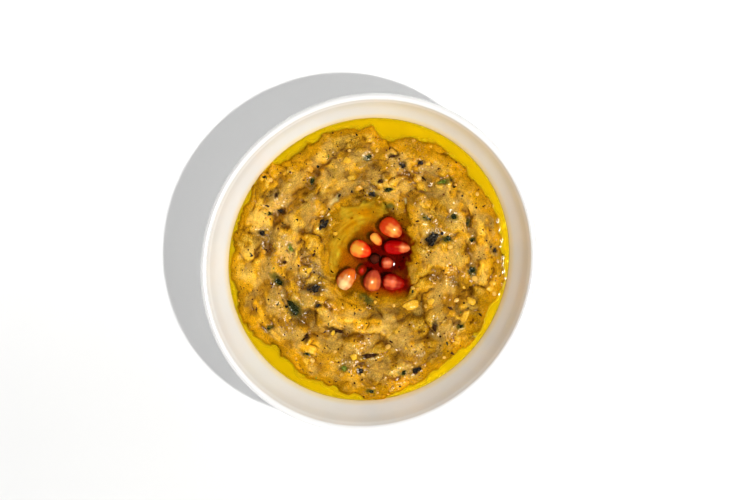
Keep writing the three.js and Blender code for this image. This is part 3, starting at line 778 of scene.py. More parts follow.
class Finish:
    """The nodes of a material or of the world, written as sums of its sockets."""

    def __init__(self, name, kind="materials"):
        self.owner = getattr(bpy.data, kind).new(name)
        self.owner.use_nodes = True
        self.tree = self.owner.node_tree
        self.tree.nodes.clear()

    def node(self, kind, settings=None, sockets=None, out=0):
        """Any node: its settings first, then the values or links of its sockets, and one output."""
        node = self.tree.nodes.new(kind)
        for key, value in (settings or {}).items():
            setattr(node, key, value)
        for key, value in (sockets or {}).items():
            socket = node.inputs[key]
            if isinstance(value, Term):
                self.tree.links.new(value.socket, socket)
            elif socket.type == "RGBA":
                socket.default_value = (*value[:3], 1.0)
            else:
                socket.default_value = value
        return Term(self, node.outputs[out])

    def place(self):
        """Object coordinates, in metres."""
        return self.node("ShaderNodeTexCoord", out="Object")

    def split(self, value, kind="XYZ"):
        """The three parts of a vector or of a colour."""
        parts = self.node(f"ShaderNodeSeparate{kind}", {}, {0: value}).socket.node.outputs
        return [Term(self, part) for part in parts]

    def attribute(self, name):
        """Red, green and blue of a colour attribute, as three numbers."""
        return self.split(self.node("ShaderNodeAttribute", {"attribute_name": name}, out="Color"), "Color")

    def noise(self, size, detail=3, **sockets):
        """Noise with features of this size in millimetres."""
        values = {"Vector": self.place(), "Scale": 1 / (size * MM), "Detail": detail, **sockets}
        return self.node("ShaderNodeTexNoise", {}, values, "Fac")

    def swirl(self, width, reach):
        """Noise drawn out round the middle: it is read at the distance from the axis over a width and at
        the angle times a typical distance over a reach, both in millimetres."""
        x, y, z = self.split(self.place())
        distance = (x * x + y * y) ** 0.5
        turn = y.math("ARCTAN2", x)
        where = {0: distance * (1 / (width * MM)), 1: turn * (35 / reach), 2: z * (1 / (2 * width * MM))}
        vector = self.node("ShaderNodeCombineXYZ", {}, where)
        return self.node("ShaderNodeTexNoise", {}, {"Vector": vector, "Scale": 1.0, "Detail": 3.0}, "Fac")

    def blend(self, factor, first, second, how="MIX"):
        """Two colours mixed by a factor."""
        settings = {"data_type": "RGBA", "blend_type": how, "clamp_factor": True}
        return self.node("ShaderNodeMix", settings, {0: factor, 6: first, 7: second}, out=2)

    def mix(self, factor, first, second):
        """Two shaders mixed by a factor."""
        return self.node("ShaderNodeMixShader", {}, {0: factor, 1: first, 2: second})

    def bump(self, height, depth, strength):
        """A bump whose height of 1 stands for a depth in millimetres."""
        values = {"Height": height, "Distance": depth * MM, "Strength": strength}
        return self.node("ShaderNodeBump", {}, values)

    def mirror(self, ior, normal):
        """Share of light that a clear skin mirrors."""
        return self.node("ShaderNodeFresnel", {}, {"IOR": ior, "Normal": normal})

    def gloss(self, colour, roughness, normal):
        """A mirror-like shader."""
        values = {"Color": colour, "Roughness": roughness, "Normal": normal}
        return self.node("ShaderNodeBsdfGlossy", {}, values)

    def wet(self, shader, share, normal):
        """A shader under a thin wet skin, which covers a share of it and mirrors by the Fresnel rule."""
        shine = self.gloss((1.0, 0.93, 0.80), 0.3, normal)
        return self.mix(self.mirror(1.5, normal) * share, shader, shine)

    def principled(self, **sockets):
        """The main shader, with its sockets' names in small letters."""
        named = {key.replace("_", " ").title().replace("Ior", "IOR"): value for key, value in sockets.items()}
        return self.node("ShaderNodeBsdfPrincipled", {}, named)

    def done(self, shader, output="ShaderNodeOutputMaterial"):
        """Join a shader to the output, and hand over the material or world."""
        end = self.tree.nodes.new(output)
        self.tree.links.new(shader.socket, end.inputs["Surface"])
        return self.owner


def glaze_finish(s):
    """White glaze: a faint cloudiness, pinholes, an even gloss, a thinner coat on the rim, and a film of oil
    on the wall just above its level, whose warm colour is also a painted reflection of the oil and mash.
    Painted shade with warm bounce light darkens the inner wall's shaded side, more towards the rim."""
    f = Finish("glaze")
    cloud = f.noise(22)
    tone = f.blend(cloud.step(0.3, 0.7), s.glaze[:], [0.97 * c for c in s.glaze])
    x, y, z = f.split(f.place())
    spread = ((x * (1 / LONG)) ** 2 + (y * (1 / SHORT)) ** 2) ** 0.5
    within, _, _ = f.attribute("side")
    tone = f.blend(within, s.outer[:], tone)
    rim = spread.step((BOWL_RADIUS - 1.25 * RIM_THICKNESS) * MM, (BOWL_RADIUS - 0.6 * RIM_THICKNESS) * MM)
    inner = 1 - spread.step(
        (BOWL_RADIUS - 1.2 * RIM_THICKNESS) * MM, (BOWL_RADIUS - 0.8 * RIM_THICKNESS) * MM
    )
    tone = f.blend(rim, tone, s.edge[:])
    # A film of oil just above its level, its warm colour also a painted reflection of the oil and mash.
    film_and_reflection = (1 - (z + 0.0012 * (cloud - 0.5)).step(OIL_LEVEL * MM, (OIL_LEVEL + FILM_AND_REFLECTION_HEIGHT) * MM)) * within
    tone = f.blend(film_and_reflection * 0.8, tone, s.film_and_reflection[:])
    # Painted shade and warm bounce light on the shaded side of the inner wall, darker towards the rim.
    a, b = from_layout(math.cos(PAINTED_SHADE_SIDE), math.sin(PAINTED_SHADE_SIDE))
    shaded_side = ((x * a + y * b) / spread).step(0.1, 1.0) * (0.6 + 0.4 * z.step(*PAINTED_SHADE_HEIGHTS))
    tone = f.blend(shaded_side * inner * within * 0.46, tone, s.stain_and_shade[:])
    tone = f.blend(f.noise(1.1, 2).step(0.70, 0.78) * 0.10, tone, s.pore[:])
    normal = f.bump(f.noise(9, 2), 0.12, 0.5)
    rough = 0.16 + 0.10 * f.noise(6, 2)
    return f.done(f.principled(base_color=tone, roughness=rough, normal=normal, specular_ior_level=0.5))


def mash_finish(s):
    """Roasted pulp: each lump has its own tone, oil darkens the pulp by the shore, painted shade darkens the
    low places, and the skin is wet.
    """
    f = Finish("mash")
    tint, soak, hollow_shade = f.attribute("tone")
    grey, rough, deep = f.attribute("state")
    wet, green, black = f.attribute("marks")
    grain, fine, blotch = f.noise(1.5, 5), f.noise(0.6, 2), f.noise(7.0)
    fibre = f.swirl(0.5, 4.0)
    fringe = (soak * 1.2 + 1.1 * (blotch - 0.5) + 0.7 * (grain - 0.5)).step(0.15, 0.85)
    cells = {"Vector": f.place(), "Scale": 1 / (1.1 * MM)}
    spots = f.node("ShaderNodeTexVoronoi", {"feature": "F1"}, cells, "Distance")
    dots = (1 - spots.step(0.08, 0.26)) * f.noise(3.0, 2).step(0.48, 0.62)
    layers = (
        ((tint + 0.8 * (grain - 0.5)).step(0.62, 1.10) * 0.8, s.pale),
        ((grey + 0.7 * (grain - 0.5)).step(0.2, 1.0) * 0.7, s.grey),
        (fringe * 0.8, s.soaked),
        # Painted shade in the hollows between the lumps.
        ((hollow_shade * 1.1 + 0.4 * (fine - 0.5)).step(0.05, 1.0) * 0.68, s.crevice_shade),
        (dots * 0.8, s.dot),
        (f.noise(7.5, 1).step(0.44, 0.62) * (0.6 - 0.6 * fringe), s.straw),
        (green * 0.9, s.leafy),
        (black * 0.9, s.burnt),
    )
    tone = f.blend((tint + 0.9 * (blotch - 0.5)).step(0.15, 0.75), s.tan[:], s.gold[:])
    for share, layer in layers:
        tone = f.blend(share, tone, layer[:])
    gain = 1.0 + 1.5 * (fine - 0.5) + 0.5 * (fibre - 0.5) + 1.8 * (f.noise(14.0, 1) - 0.5)
    tone = f.blend(1.0, tone, gain, "MULTIPLY")
    tone = f.blend(deep, tone, s.cream[:])
    pit = f.noise(0.9, 1) * (0.15 + 1.9 * rough) + 0.2 * fibre + 0.25 * f.noise(2.0, 2)
    gloss = (wet + 0.6 * (f.noise(1.6, 1) - 0.5)).step(0.35, 0.65) * f.noise(1.0, 1).step(0.44, 0.54)
    normal = f.bump(pit, 0.35, 0.8)
    shader = f.principled(
        base_color=tone,
        roughness=0.6,
        normal=normal,
        subsurface_weight=0.15,
        subsurface_radius=(1.0, 0.42, 0.10),
        subsurface_scale=0.0012,
        specular_ior_level=0.0,
    )
    return f.done(f.wet(shader, 0.01 + 0.85 * gloss, normal))


def oil_finish(name, thin, deep, cloud, share, shine, juice=None):
    """Clear oil: light that passes takes a tint that follows the depth, a faint cloud glows in it, and the
    surface mirrors like oil."""
    f = Finish(name)
    depth, stain_and_shade, _ = f.attribute("depth")
    clear, full = (f.node("ShaderNodeBsdfTransparent", {}, {"Color": tint}) for tint in (thin, deep))
    haze = f.node("ShaderNodeBsdfDiffuse", {}, {"Color": cloud})
    body = f.mix(depth * share, f.mix(depth, clear, full), haze)
    # The juice share holds the juice between the arils and also painted shade on the well's right side and
    # round the arils.
    if juice is not None:
        body = f.mix(stain_and_shade, body, f.node("ShaderNodeBsdfTransparent", {}, {"Color": juice}))
    ripple = f.bump(f.noise(2.2, 2), 0.10, 0.35)
    return f.done(f.mix(f.mirror(1.47, ripple), body, f.gloss((shine, shine, shine), 0.08, ripple)))


def aril_finish():
    """Glassy flesh over a pale seed, its tones carried by the mesh."""
    f = Finish("aril")
    flesh = f.node("ShaderNodeAttribute", {"attribute_name": "tone"}, out="Color")
    veins = (f.noise(1 / 0.42, 3, Distortion=0.6) - 0.5).step(0.0, 0.25)
    lit = f.attribute("tone")[0].step(0.1, 0.3)
    shader = f.principled(
        base_color=f.blend(veins * 0.3, flesh, f.blend(1.0, flesh, (0.62, 0.40, 0.42), "MULTIPLY")),
        roughness=0.8 - 0.48 * lit,
        normal=f.bump(f.noise(2.4, 2), 0.34, 0.8),
        subsurface_weight=0.25,
        subsurface_radius=(1.0, 0.25, 0.12),
        subsurface_scale=0.0015,
        specular_ior_level=0.0,
        coat_weight=0.55 * lit,
        coat_roughness=0.07,
        coat_ior=1.4,
    )
    return f.done(shader)


def bit_finish(name, base, dark, gloss, crinkle=0.18):
    """Small bits: two tones in patches, a crinkled surface and a wet coat."""
    f = Finish(name)
    shade, _, _ = f.attribute("tone")
    tone = f.blend((f.noise(0.9, 4) + 0.7 * (shade - 0.5)).step(0.38, 0.66), dark, base)
    normal = f.bump(f.noise(0.7, 1), 1.6 * crinkle, 0.8)
    shader = f.principled(base_color=tone, roughness=0.6, normal=normal, specular_ior_level=0.0)
    return f.done(f.wet(shader, gloss * f.noise(0.9, 1).step(0.50, 0.60), normal))


# ---------------------------------------------------------------- pieces


def spin(profile, sides):
    """A profile of [radius, height] rows carried round Z and stretched to the bowl's axes. The first and
    last rows lie on the axis."""
    angle = np.linspace(0, 2 * math.pi, sides, endpoint=False)
    ring = profile[1:-1]
    x = LONG * ring[:, :1] * np.cos(angle)
    y = SHORT * ring[:, :1] * np.sin(angle)
    z = np.repeat(ring[:, 1:], sides, 1)
    points = np.stack([x, y, z], -1).reshape(-1, 3)
    poles = np.array([[0, 0, profile[0, 1]], [0, 0, profile[-1, 1]]])
    return np.vstack([points, poles]), *capped(len(ring), sides)


def arc(radius, height, size, start, end, steps):
    """Rows of [radius, height] along an arc round a middle, from one angle to another."""
    angle = np.radians(np.linspace(start, end, steps))
    return np.stack([radius + size * np.cos(angle), height + size * np.sin(angle)], -1)


def bowl_profile(rim):
    """The bowl's outline from the axis under the foot, up the outer wall, round the rim and down inside."""
    share = np.linspace(0.475, 0.997, 56)
    down = np.linspace(0.9985, 0.12, 96)
    height = wall_height(down, INNER_BOTTOM)
    start, full, end = SWELL_HEIGHTS
    swell = SWELL * smooth(start, full, height) * np.clip((end - height) / (end - full), 0, 1)
    middle, half = BOWL_RADIUS - rim / 2, rim / 2
    parts = [
        [[0, FOOT_RECESS], [FOOT_INNER * 0.6, FOOT_RECESS]],
        arc(FOOT_INNER - 2.2, FOOT_RECESS - FOOT_FILLET, FOOT_FILLET, 90, 0, 7),
        [[FOOT_INNER - 0.6, 0.4], [FOOT_INNER, 0], [FOOT_INNER + 2.5, 0]],
        arc(FOOT_OUTER - FOOT_EDGE, FOOT_EDGE, FOOT_EDGE, -90, 0, 7),
        [[FOOT_OUTER, 2.5], [FOOT_OUTER, FOOT_HEIGHT - 0.5]],
        np.stack([BOWL_RADIUS * share, wall_height(share, OUTER_BOTTOM)], -1),
        arc(middle, BOWL_HEIGHT - half, half, 0, 180, 17),
        np.stack([(BOWL_RADIUS - rim) * down + swell, height], -1),
        [[0, INNER_BOTTOM]],
    ]
    rows = np.vstack([np.asarray(part, float) for part in parts])
    wall = (rows[:, 1] > BOWL_HEIGHT - half) & (np.abs(rows[:, 0] - middle) > half)
    return rows[~wall]


def make_bowl(settings):
    """The glazed bowl, with the share of its inside carried by the mesh."""
    points, quads, tris = spin(bowl_profile(settings.rim / MM), settings.sides)
    x, y, z = points.T
    gap = np.hypot(x / LONG, y / SHORT) - inner_radius(np.clip(z, INNER_BOTTOM, BOWL_HEIGHT))
    inside = smooth(1.6, 1.0, gap) * (z > INNER_BOTTOM - 0.5)
    side = np.stack([inside, 0 * inside, 0 * inside], -1)
    build_piece("bowl_glaze", points, quads, tris, glaze_finish(settings), "glaze", ("bowl",), side=side)


def disc_grid(count):
    """A square grid carried onto a disc ring by ring: a point's radius is the larger of its two
    coordinates, and its angle grows with their ratio."""
    side = np.linspace(-1, 1, count + 1)
    a, b = np.meshgrid(side, side)
    wide = np.abs(a) > np.abs(b)
    with np.errstate(divide="ignore", invalid="ignore"):
        angle = np.where(wide, math.pi / 4 * b / a, math.pi / 2 - math.pi / 4 * a / b)
    radius = np.where(wide, a, b)
    angle = np.where(radius == 0, 0, angle)
    return radius * np.cos(angle), radius * np.sin(angle)


def border(count):
    """Point numbers round the edge of a square grid, anticlockwise."""
    n = count + 1
    low, right = np.arange(n), np.arange(n) * n + n - 1
    top, left = np.arange(n)[::-1] + n * (n - 1), np.arange(n)[::-1] * n
    return np.concatenate([low[:-1], right[:-1], top[:-1], left[:-1]])


def make_mash(settings):
    """The mash: a fine disc that takes its height from the relief, closed below along the bowl's wall."""
    r = relief()
    reach = inner_radius(OIL_LEVEL) + 0.1
    a, b = (part.ravel() for part in disc_grid(settings.grid))
    x, y = reach * LONG * a, reach * SHORT * b
    bed = inner_height(np.minimum(reach * np.hypot(a, b), reach)) - MASH_BED
    top = np.stack([x, y, np.maximum(r.read(r.height, *to_layout(x, y)), bed)], -1)
    edge = border(settings.grid)
    sink = np.linspace(0, 1, MASH_STEPS)[1:, None]
    radius = reach * np.hypot(a, b)[edge] * (1 - sink * 0.75)
    angle = np.arctan2(b[edge], a[edge])
    z = np.minimum(inner_height(radius) + 0.1, top[edge, 2] - 0.2)
    side = np.stack([LONG * radius * np.cos(angle), SHORT * radius * np.sin(angle), z], -1).reshape(-1, 3)
    points = np.vstack([top, side, [[0, 0, INNER_BOTTOM + 0.3]]])
    quads = grid_quads(settings.grid + 1, settings.grid + 1)
    rim = np.concatenate([edge, len(top) + np.arange(len(side))]).reshape(MASH_STEPS, -1)
    after = np.roll(rim, -1, 1)
    wall = np.stack([rim[:-1], rim[1:], after[1:], after[:-1]], -1).reshape(-1, 4)
    tris = fan(len(points) - 1, rim[-1], flip=True)
    u, v = to_layout(points[:, 0], points[:, 1])
    build_piece(
        "mash", points, np.vstack([quads, wall]), tris, mash_finish(settings), "mash", ("dip",),
        tone=r.masks(u, v, r.tint, r.soak, r.hollow_shade),
        state=r.masks(u, v, r.grey, r.rough, r.deep),
        marks=r.masks(u, v, r.wet, r.green, r.black),
    )


def closed_sheet(top, bottom, rows, columns):
    """A thick ring from two grids of points: its upper face, its lower face and the sides between."""
    count = rows * columns
    upper = grid_quads(rows, columns, closed=True)
    lower = grid_quads(rows, columns, closed=True, first=count)[:, ::-1]
    ring = np.arange(columns)
    last = ring + (rows - 1) * columns
    after, last_after = np.roll(ring, -1), np.roll(last, -1)
    inner = np.stack([ring, ring + count, after + count, after], -1)
    outer = np.stack([last, last_after, last_after + count, last + count], -1)
    return np.vstack([top, bottom]), np.vstack([upper, lower, inner, outer])


def make_moat_oil(settings):
    """The oil round the mash: level, with a meniscus that rises as its depth runs out."""
    r = relief()
    rows, columns = MOAT_GRID
    angle = np.linspace(0, 2 * math.pi, columns, endpoint=False)[None, :]
    direction = np.arctan2(SHORT * np.sin(angle), LONG * np.cos(angle)) + LAYOUT_TURN
    wall = inner_radius(OIL_LEVEL + 0.3)
    shore = wall - around_list(MOAT_WIDTHS, direction) - MOAT_OVERLAP
    radius = shore + (wall + 0.15 - shore) * np.linspace(0, 1, rows)[:, None] ** 0.8
    x, y = LONG * radius * np.cos(angle), SHORT * radius * np.sin(angle)
    mash = r.read(r.height, *to_layout(x, y))
    depth = np.clip(OIL_LEVEL - np.maximum(mash, inner_height(radius)), 0, None)
    z = OIL_LEVEL + settings.meniscus / MM * np.exp(-np.clip(OIL_LEVEL - mash, 0, None) / 0.6)
    top = np.stack([x, y, z], -1).reshape(-1, 3)
    bottom = np.stack([x, y, np.minimum(mash, z) - OIL_THICKNESS], -1).reshape(-1, 3)
    points, quads = closed_sheet(top, bottom, rows, columns)
    share = 1 - np.exp(-np.tile(depth.ravel(), 2) / MOAT_FADE)
    tone = np.stack([share, 0 * share, 0 * share], -1)
    finish = oil_finish("moat_oil", settings.thin, settings.deep, settings.cloud, 0.45, 0.05)
    build_piece("moat_oil", points, quads[:, ::-1], (), finish, "oil", ("oil_ring",), depth=tone)


def aril_places():
    """Middle of each aril in the bowl's X, Y and Z, from the solids."""
    boxes = [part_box(f"aril_{k + 1}") for k in range(len(ARILS))]
    return [np.array((low + high) / 2) / MM for low, high in boxes]


def make_well_oil(settings):
    """The oil in the well: a level disc whose meniscus climbs the mash and the arils."""
    r = relief()
    a, b = (part.ravel() for part in disc_grid(POOL_GRID))
    middle = from_layout(*WELL_MIDDLE)
    reach = max(WELL_HALF) + POOL_MARGIN
    x, y = middle[0] + reach * a, middle[1] + reach * b
    u, v = to_layout(x, y)
    mash = r.read(r.height, u, v)
    depth = np.clip(POOL_LEVEL - mash, 0, None)
    nearest, ringed = np.full(x.shape, 9.0), np.full(x.shape, 9.0)
    for (size, width, turn, *_), place in zip(ARILS, aril_places()):
        along, across = turned(x - place[0], y - place[1], math.radians(turn) - LAYOUT_TURN)
        gap = np.abs(np.hypot(along / (size / 2), across / (width / 2)) - 0.92) * width / 2
        nearest = np.minimum(nearest, gap)
        ringed = np.minimum(ringed, gap + (size > 6) + (width < 4.5) + 0.3 * (size < 5.5))
    climb = settings.meniscus / MM
    z = POOL_LEVEL + 0.3 * climb * np.exp(-depth / 0.35) + 0.9 * climb * np.exp(-ringed / 0.45)
    z += 0.04 * r.read(r.noise(1.6, 61), u, v)
    points = np.vstack([np.stack([x, y, level], -1) for level in (z, np.minimum(mash, z) - OIL_THICKNESS)])
    quads = grid_quads(POOL_GRID + 1, POOL_GRID + 1)
    edge = border(POOL_GRID)
    after = np.roll(edge, -1)
    wall = np.stack([edge, edge + len(x), after + len(x), after], -1)
    quads = np.vstack([quads, quads[:, ::-1] + len(x), wall])
    # Painted shade: the juice tint darkens the well's right side, under its steep wall.
    side = 0.3 * smooth(-9, 8, u) + 0.4 * smooth(6, 13, u)
    side = side * (1 - smooth(9, 16, v)) * (1 - smooth(-13, -17, v)) * smooth(0, 0.5, depth)
    # Juice stain and painted contact shadow round the arils.
    halo = 0.4 * bell(nearest / 1.3) * smooth(-14, 0, u)
    mottle = r.read(r.noise(1.6, 62) + 0.7 * r.noise(0.6, 63), u, v)
    stain_and_shade = (1.1 * bell((u - 4.0) / 6.8) * bell((v + 0.5) / 7.8) + side + halo) * (1 + 0.22 * mottle)
    share = (1 - np.exp(-depth / POOL_FADE)) * (0.8 + 0.2 * smooth(-14, 0, u)) * (0.95 + 0.25 * mottle)
    tone = np.stack([np.clip(share, 0, 1), np.clip(stain_and_shade, 0, 0.97), 0 * depth], -1)
    finish = oil_finish("well_oil", settings.thin, settings.well, settings.brown, 0.1, 0.12, settings.juice)
    build_piece("well_oil", points, quads, (), finish, "oil", ("oil_pool",), depth=np.vstack([tone, tone]))


def aril_form(size, width, phase, sides, rings):
    """Points of a drop that lies along X: an ellipse's width, tapered along it and drawn in by the facets,
    then the points of its two ends."""
    turn = np.linspace(0, 2 * math.pi, sides, endpoint=False)[None, :]
    angle = np.linspace(0, math.pi, rings)[1:-1, None]
    facet = 1 + ARIL_FACET_DEPTH * np.cos(ARIL_FACETS * turn) + 0.035 * np.cos(3 * turn + phase)
    radius = width / 2 * np.sin(angle) ** 0.9 * (1 + ARIL_TAPER * np.cos(angle)) * facet
    along = -size / 2 * np.cos(angle) + 0 * turn
    skin = np.stack([along, radius * np.cos(turn), radius * np.sin(turn) * ARIL_FLATNESS], -1)
    return np.vstack([skin.reshape(-1, 3), [[-size / 2, 0, 0], [size / 2, 0, 0]]])


def make_arils():
    """The arils: tapered drops with five blunt facets, pale where the seed shines through, their flesh
    darkened by painted shade on the lower sides and edges.
    """
    finish = aril_finish()
    sides, rings = ARIL_GRID
    quads, tris = capped(rings - 2, sides)
    for k, (row, place) in enumerate(zip(ARILS, aril_places())):
        size, width, heading, pitch, flesh, seed, shift, spread = row
        form = aril_form(size, width, k, sides, rings)
        x, y, z = form.T
        inward = np.hypot((x / (size / 2) - shift) / 0.95, y / (width / 2))
        inward += 0.08 * np.sin(3.1 * y + k) + 0.10 * np.sin(1.9 * x + 2 * k)
        upward = z / (width / 2)
        glow = smooth(spread + SEED_SOFTNESS, spread - SEED_SOFTNESS, inward) * smooth(-0.25, 0.55, upward)
        # Painted shade: the flesh darkens on the lower sides and edges.
        glow, rim = glow[:, None], smooth(0.58, -0.05, upward)[:, None]
        tone = glow * np.array(seed) + (1 - glow) * np.array(flesh) * (1 - rim * ARIL_EDGE_SHADE)
        along, up = turned(x, z, -math.radians(pitch))
        along, across = turned(along, y, LAYOUT_TURN - math.radians(heading))
        moved = np.stack([along, across, up], -1)
        middle = (moved.max(0) + moved.min(0)) / 2
        build_piece(
            f"aril_flesh_{k + 1}", moved - middle + place, quads, tris, finish, "fruit",
            (f"aril_{k + 1}",), tone=tone,
        )


def lenses(rows, sides, rings, ragged=0.0, pointed=0.0, wave=0.0, follow=0.7, seed=0):
    """Many lens-shaped bits in one mesh. Each is a unit ball, squeezed to its length, width and thickness,
    its outline made ragged or pointed, laid over the mash and lifted a little."""
    u, v, size, width, turn, thick, lift, shade = (np.asarray(c, float)[:, None] for c in zip(*rows))
    phase = np.random.default_rng(seed).random((len(u), 3)) * 2 * math.pi
    angle = np.tile(np.linspace(0, 2 * math.pi, sides, endpoint=False), rings - 1)
    polar = np.repeat(np.linspace(0, math.pi, rings + 1)[1:-1], sides)
    angle, polar = np.append(angle, [0, 0]), np.append(polar, [0, math.pi])
    outline = 1 + sum(
        ragged / k**0.5 * np.sin((k + 2) * angle + phase[:, k % 3:k % 3 + 1] * k) for k in (1, 2, 3, 5, 7)
    )
    a = np.cos(angle) * np.sin(polar) * outline
    b = np.sin(angle) * np.sin(polar) * outline * (1 - pointed * np.cos(angle) ** 2)
    du, dv = turned(a * size / 2, b * width / 2, -np.radians(turn))
    r = relief()
    base = follow * r.read(r.height, u + du, v + dv) + (1 - follow) * r.read(r.height, u, v)
    bend = wave * thick * np.sin(2.2 * a + phase[:, 2:]) * np.cos(1.7 * b)
    points = np.stack([*from_layout(u + du, v + dv), base + lift + thick * np.cos(polar) + bend], -1)
    count = points.shape[1]
    first = (np.arange(len(u)) * count)[:, None, None]
    quads, tris = (part + first for part in capped(rings - 1, sides, inward=True))
    tone = np.repeat(np.repeat(shade, count, 1).reshape(-1, 1), 3, 1)
    return points.reshape(-1, 3), quads.reshape(-1, 4), tris.reshape(-1, 3), tone


def scatter(count, sizes, aspect, thick, lift, seed, clusters=False):
    """Rows of random bits over the mash: place, length, width, turn, thickness, lift and shade."""
    random = np.random.default_rng(seed)
    u, v = sunflower(count, inner_radius(OIL_LEVEL) - 1.5, random, 9.0)
    share = random.random((4, count))
    size = sizes[0] + (sizes[1] - sizes[0]) * share[0] ** 2.2
    width = size * (aspect[0] + (aspect[1] - aspect[0]) * share[1])
    rows = np.stack([u, v, size, width, 360 * share[2], size * thick, size * lift, share[3]], -1)
    r = relief()
    shows = (r.read(r.height, u, v) > OIL_LEVEL - 0.4) & (r.read(r.well, u, v) < 0.75)
    if clusters:
        shows &= r.read(r.noise(3.0, seed + 1), u, v) > 1.4 * random.random(count) - 0.9
    return rows[shows]


def large_bits(kind):
    """Rows of the largest bits of a kind, apart from those that lie in the well."""
    r = relief()
    scale, laid = LARGE_BIT_SCALE, (LARGE_BIT_THICKNESS, LARGE_BIT_LIFT, 0.5)
    rows = [
        (u, v, scale * size, scale * width, turn, *laid)
        for u, v, size, width, turn, its_kind in LARGE_BITS
        if its_kind == kind and r.read(r.well, u, v) < 0.3
    ]
    return np.array(rows, float).reshape(-1, 8)


def make_bits(settings):
    """Herb, char and skin, with the largest bits where the solid has them."""
    for kind, (dark, gloss, spread, form) in BITS.items():
        rows = np.vstack([large_bits(kind), scatter(*spread)])
        points, quads, tris, tone = lenses(rows, *BIT_GRID, seed=len(kind), **form)
        finish = bit_finish(kind, getattr(settings, kind)[:], dark, gloss)
        build_piece(f"{kind}_bits", points, quads, tris, finish, "mash", tone=tone)


def make_specks(settings):
    """Fine specks, pale seeds and bright yellow bits."""
    specks = scatter(settings.specks, (0.28, 1.1), (0.45, 1.0), 0.30, 0.05, 81, clusters=True)
    seeds = scatter(settings.seeds, (1.6, 2.8), (0.7, 0.9), 0.22, 0.10, 82)
    yellow = [(*row, row[3] * 0.32, row[3] * 0.14, 0.6) for row in YELLOW_BITS]
    yellow = np.vstack([yellow, scatter(26, (1.4, 3.4), (0.6, 0.9), 0.30, 0.14, 83)])
    kinds = (
        ("specks", specks, (7, 4, 0.1), 5, "speck", ((0.035, 0.012, 0.004), 0.1, 0.05)),
        ("pale_seeds", seeds, (14, 8, 0.0), 6, "seed", ((0.55, 0.28, 0.03), 0.4, 0.10)),
        ("yellow_bits", yellow, (20, 10, 0.07), 7, "kernel", ((0.75, 0.36, 0.03), 0.6, 0.12)),
    )
    for name, rows, (sides, rings, ragged), seed, tint, look in kinds:
        points, quads, tris, tone = lenses(rows, sides, rings, ragged=ragged, seed=seed)
        finish = bit_finish(tint, getattr(settings, tint)[:], *look)
        build_piece(name, points, quads, tris, finish, "mash", tone=tone)


# ---------------------------------------------------------------- stage


def make_world(settings):
    """The studio: bright walls, brightest at the near side, warm at the left, under a dark ceiling."""
    f = Finish("studio", "worlds")
    x, y, z = f.split(f.node("ShaderNodeTexCoord", out="Generated"))
    right, far = to_layout(x, y)
    ceiling = 1 - 0.95 * z.step(0.6, 0.96)
    mirrored = f.node("ShaderNodeLightPath", out="Is Glossy Ray")
    strength = settings.fill * ceiling * (1 - settings.slant * far) * (1 - settings.dim * mirrored)
    tint = f.blend((right * -1).step(-0.2, 0.8), settings.cool[:], settings.warmth[:])
    background = f.node("ShaderNodeBackground", {}, {"Color": tint, "Strength": strength})
    return f.done(background, "ShaderNodeOutputWorld")


def make_table(settings):
    """The table, a little darker at its near side."""
    mesh = bpy.data.meshes.new("table")
    corners = [(x * TABLE_HALF, y * TABLE_HALF, 0) for x, y in ((-1, -1), (1, -1), (1, 1), (-1, 1))]
    mesh.from_pydata(corners, [], [(0, 1, 2, 3)])
    f = Finish("table")
    x, y, _ = f.split(f.place())
    away = to_layout(x, y)[1].step(-0.09, 0.09)
    tone = f.blend(away, settings.near[:], settings.floor[:])
    mesh.materials.append(f.done(f.principled(base_color=tone, roughness=0.9, specular_ior_level=0.1)))
    table = bpy.data.objects.new("table", mesh)
    bpy.context.scene.collection.objects.link(table)


def make_stage(settings):
    """A pale table, a small hard lamp, soft studio walls that leave the ceiling dark, and the camera."""
    scene = bpy.context.scene
    scene.view_settings.view_transform = "Standard"
    scene.view_settings.look = "None"
    make_table(settings)
    scene.world = make_world(settings)

    place = sight(*LAMP_SIGHT) * settings.reach
    for name, radius in zip(("key", "sparkle"), LAMP_RADII):
        lamp = bpy.data.lights.new(name, "POINT")
        lamp.energy = getattr(settings, name) * 4 * math.pi * settings.reach**2
        lamp.shadow_soft_size = radius
        lamp.color = LAMP_COLOUR
        bulb = bpy.data.objects.new(name, lamp)
        aim(bulb, place, (0, 0, 0))
        bulb.visible_diffuse = name == "key"
        bulb.visible_glossy = name == "sparkle"
        scene.collection.objects.link(bulb)

    camera = bpy.data.cameras.new("camera")
    camera.sensor_width = SENSOR_WIDTH
    camera.lens = PIXELS_PER_MM * SENSOR_WIDTH * settings.distance / MM / PICTURE_WIDTH
    camera.clip_start, camera.clip_end = CLIP_DISTANCES
    view = bpy.data.objects.new("camera", camera)
    target = np.array([*from_layout(*CAMERA_TARGET), BOWL_HEIGHT]) * MM
    aim(view, sight(*CAMERA_SIGHT) * settings.distance, target)
    scene.collection.objects.link(view)
    scene.camera = view


def sight(azimuth, elevation):
    """Unit direction towards a place in the layout's sky, from its azimuth and elevation in degrees."""
    a, e = math.radians(azimuth), math.radians(elevation)
    x, y = from_layout(math.cos(a) * math.cos(e), math.sin(a) * math.cos(e))
    return np.array([x, y, math.sin(e)])


def aim(thing, offset, target):
    """Put a lamp or camera at target + offset, looking at target, with the layout's v as its up."""
    back = Vector(offset).normalized()
    up = Vector((*from_layout(0.0, 1.0), 0.0))
    right = up.cross(back).normalized()
    turn = Matrix((right, back.cross(right), back)).transposed().to_4x4()
    turn.translation = Vector(target) + Vector(offset)
    thing.matrix_world = turn


# ---------------------------------------------------------------- add-on


class SERVING_OT_stage(bpy.types.Operator):
    """Make the table, the lights and the camera"""

    bl_idname = "serving.stage"
    bl_label = "Stage"

    def execute(self, context):
        make_stage(context.scene.serving_stage)
        return {"FINISHED"}


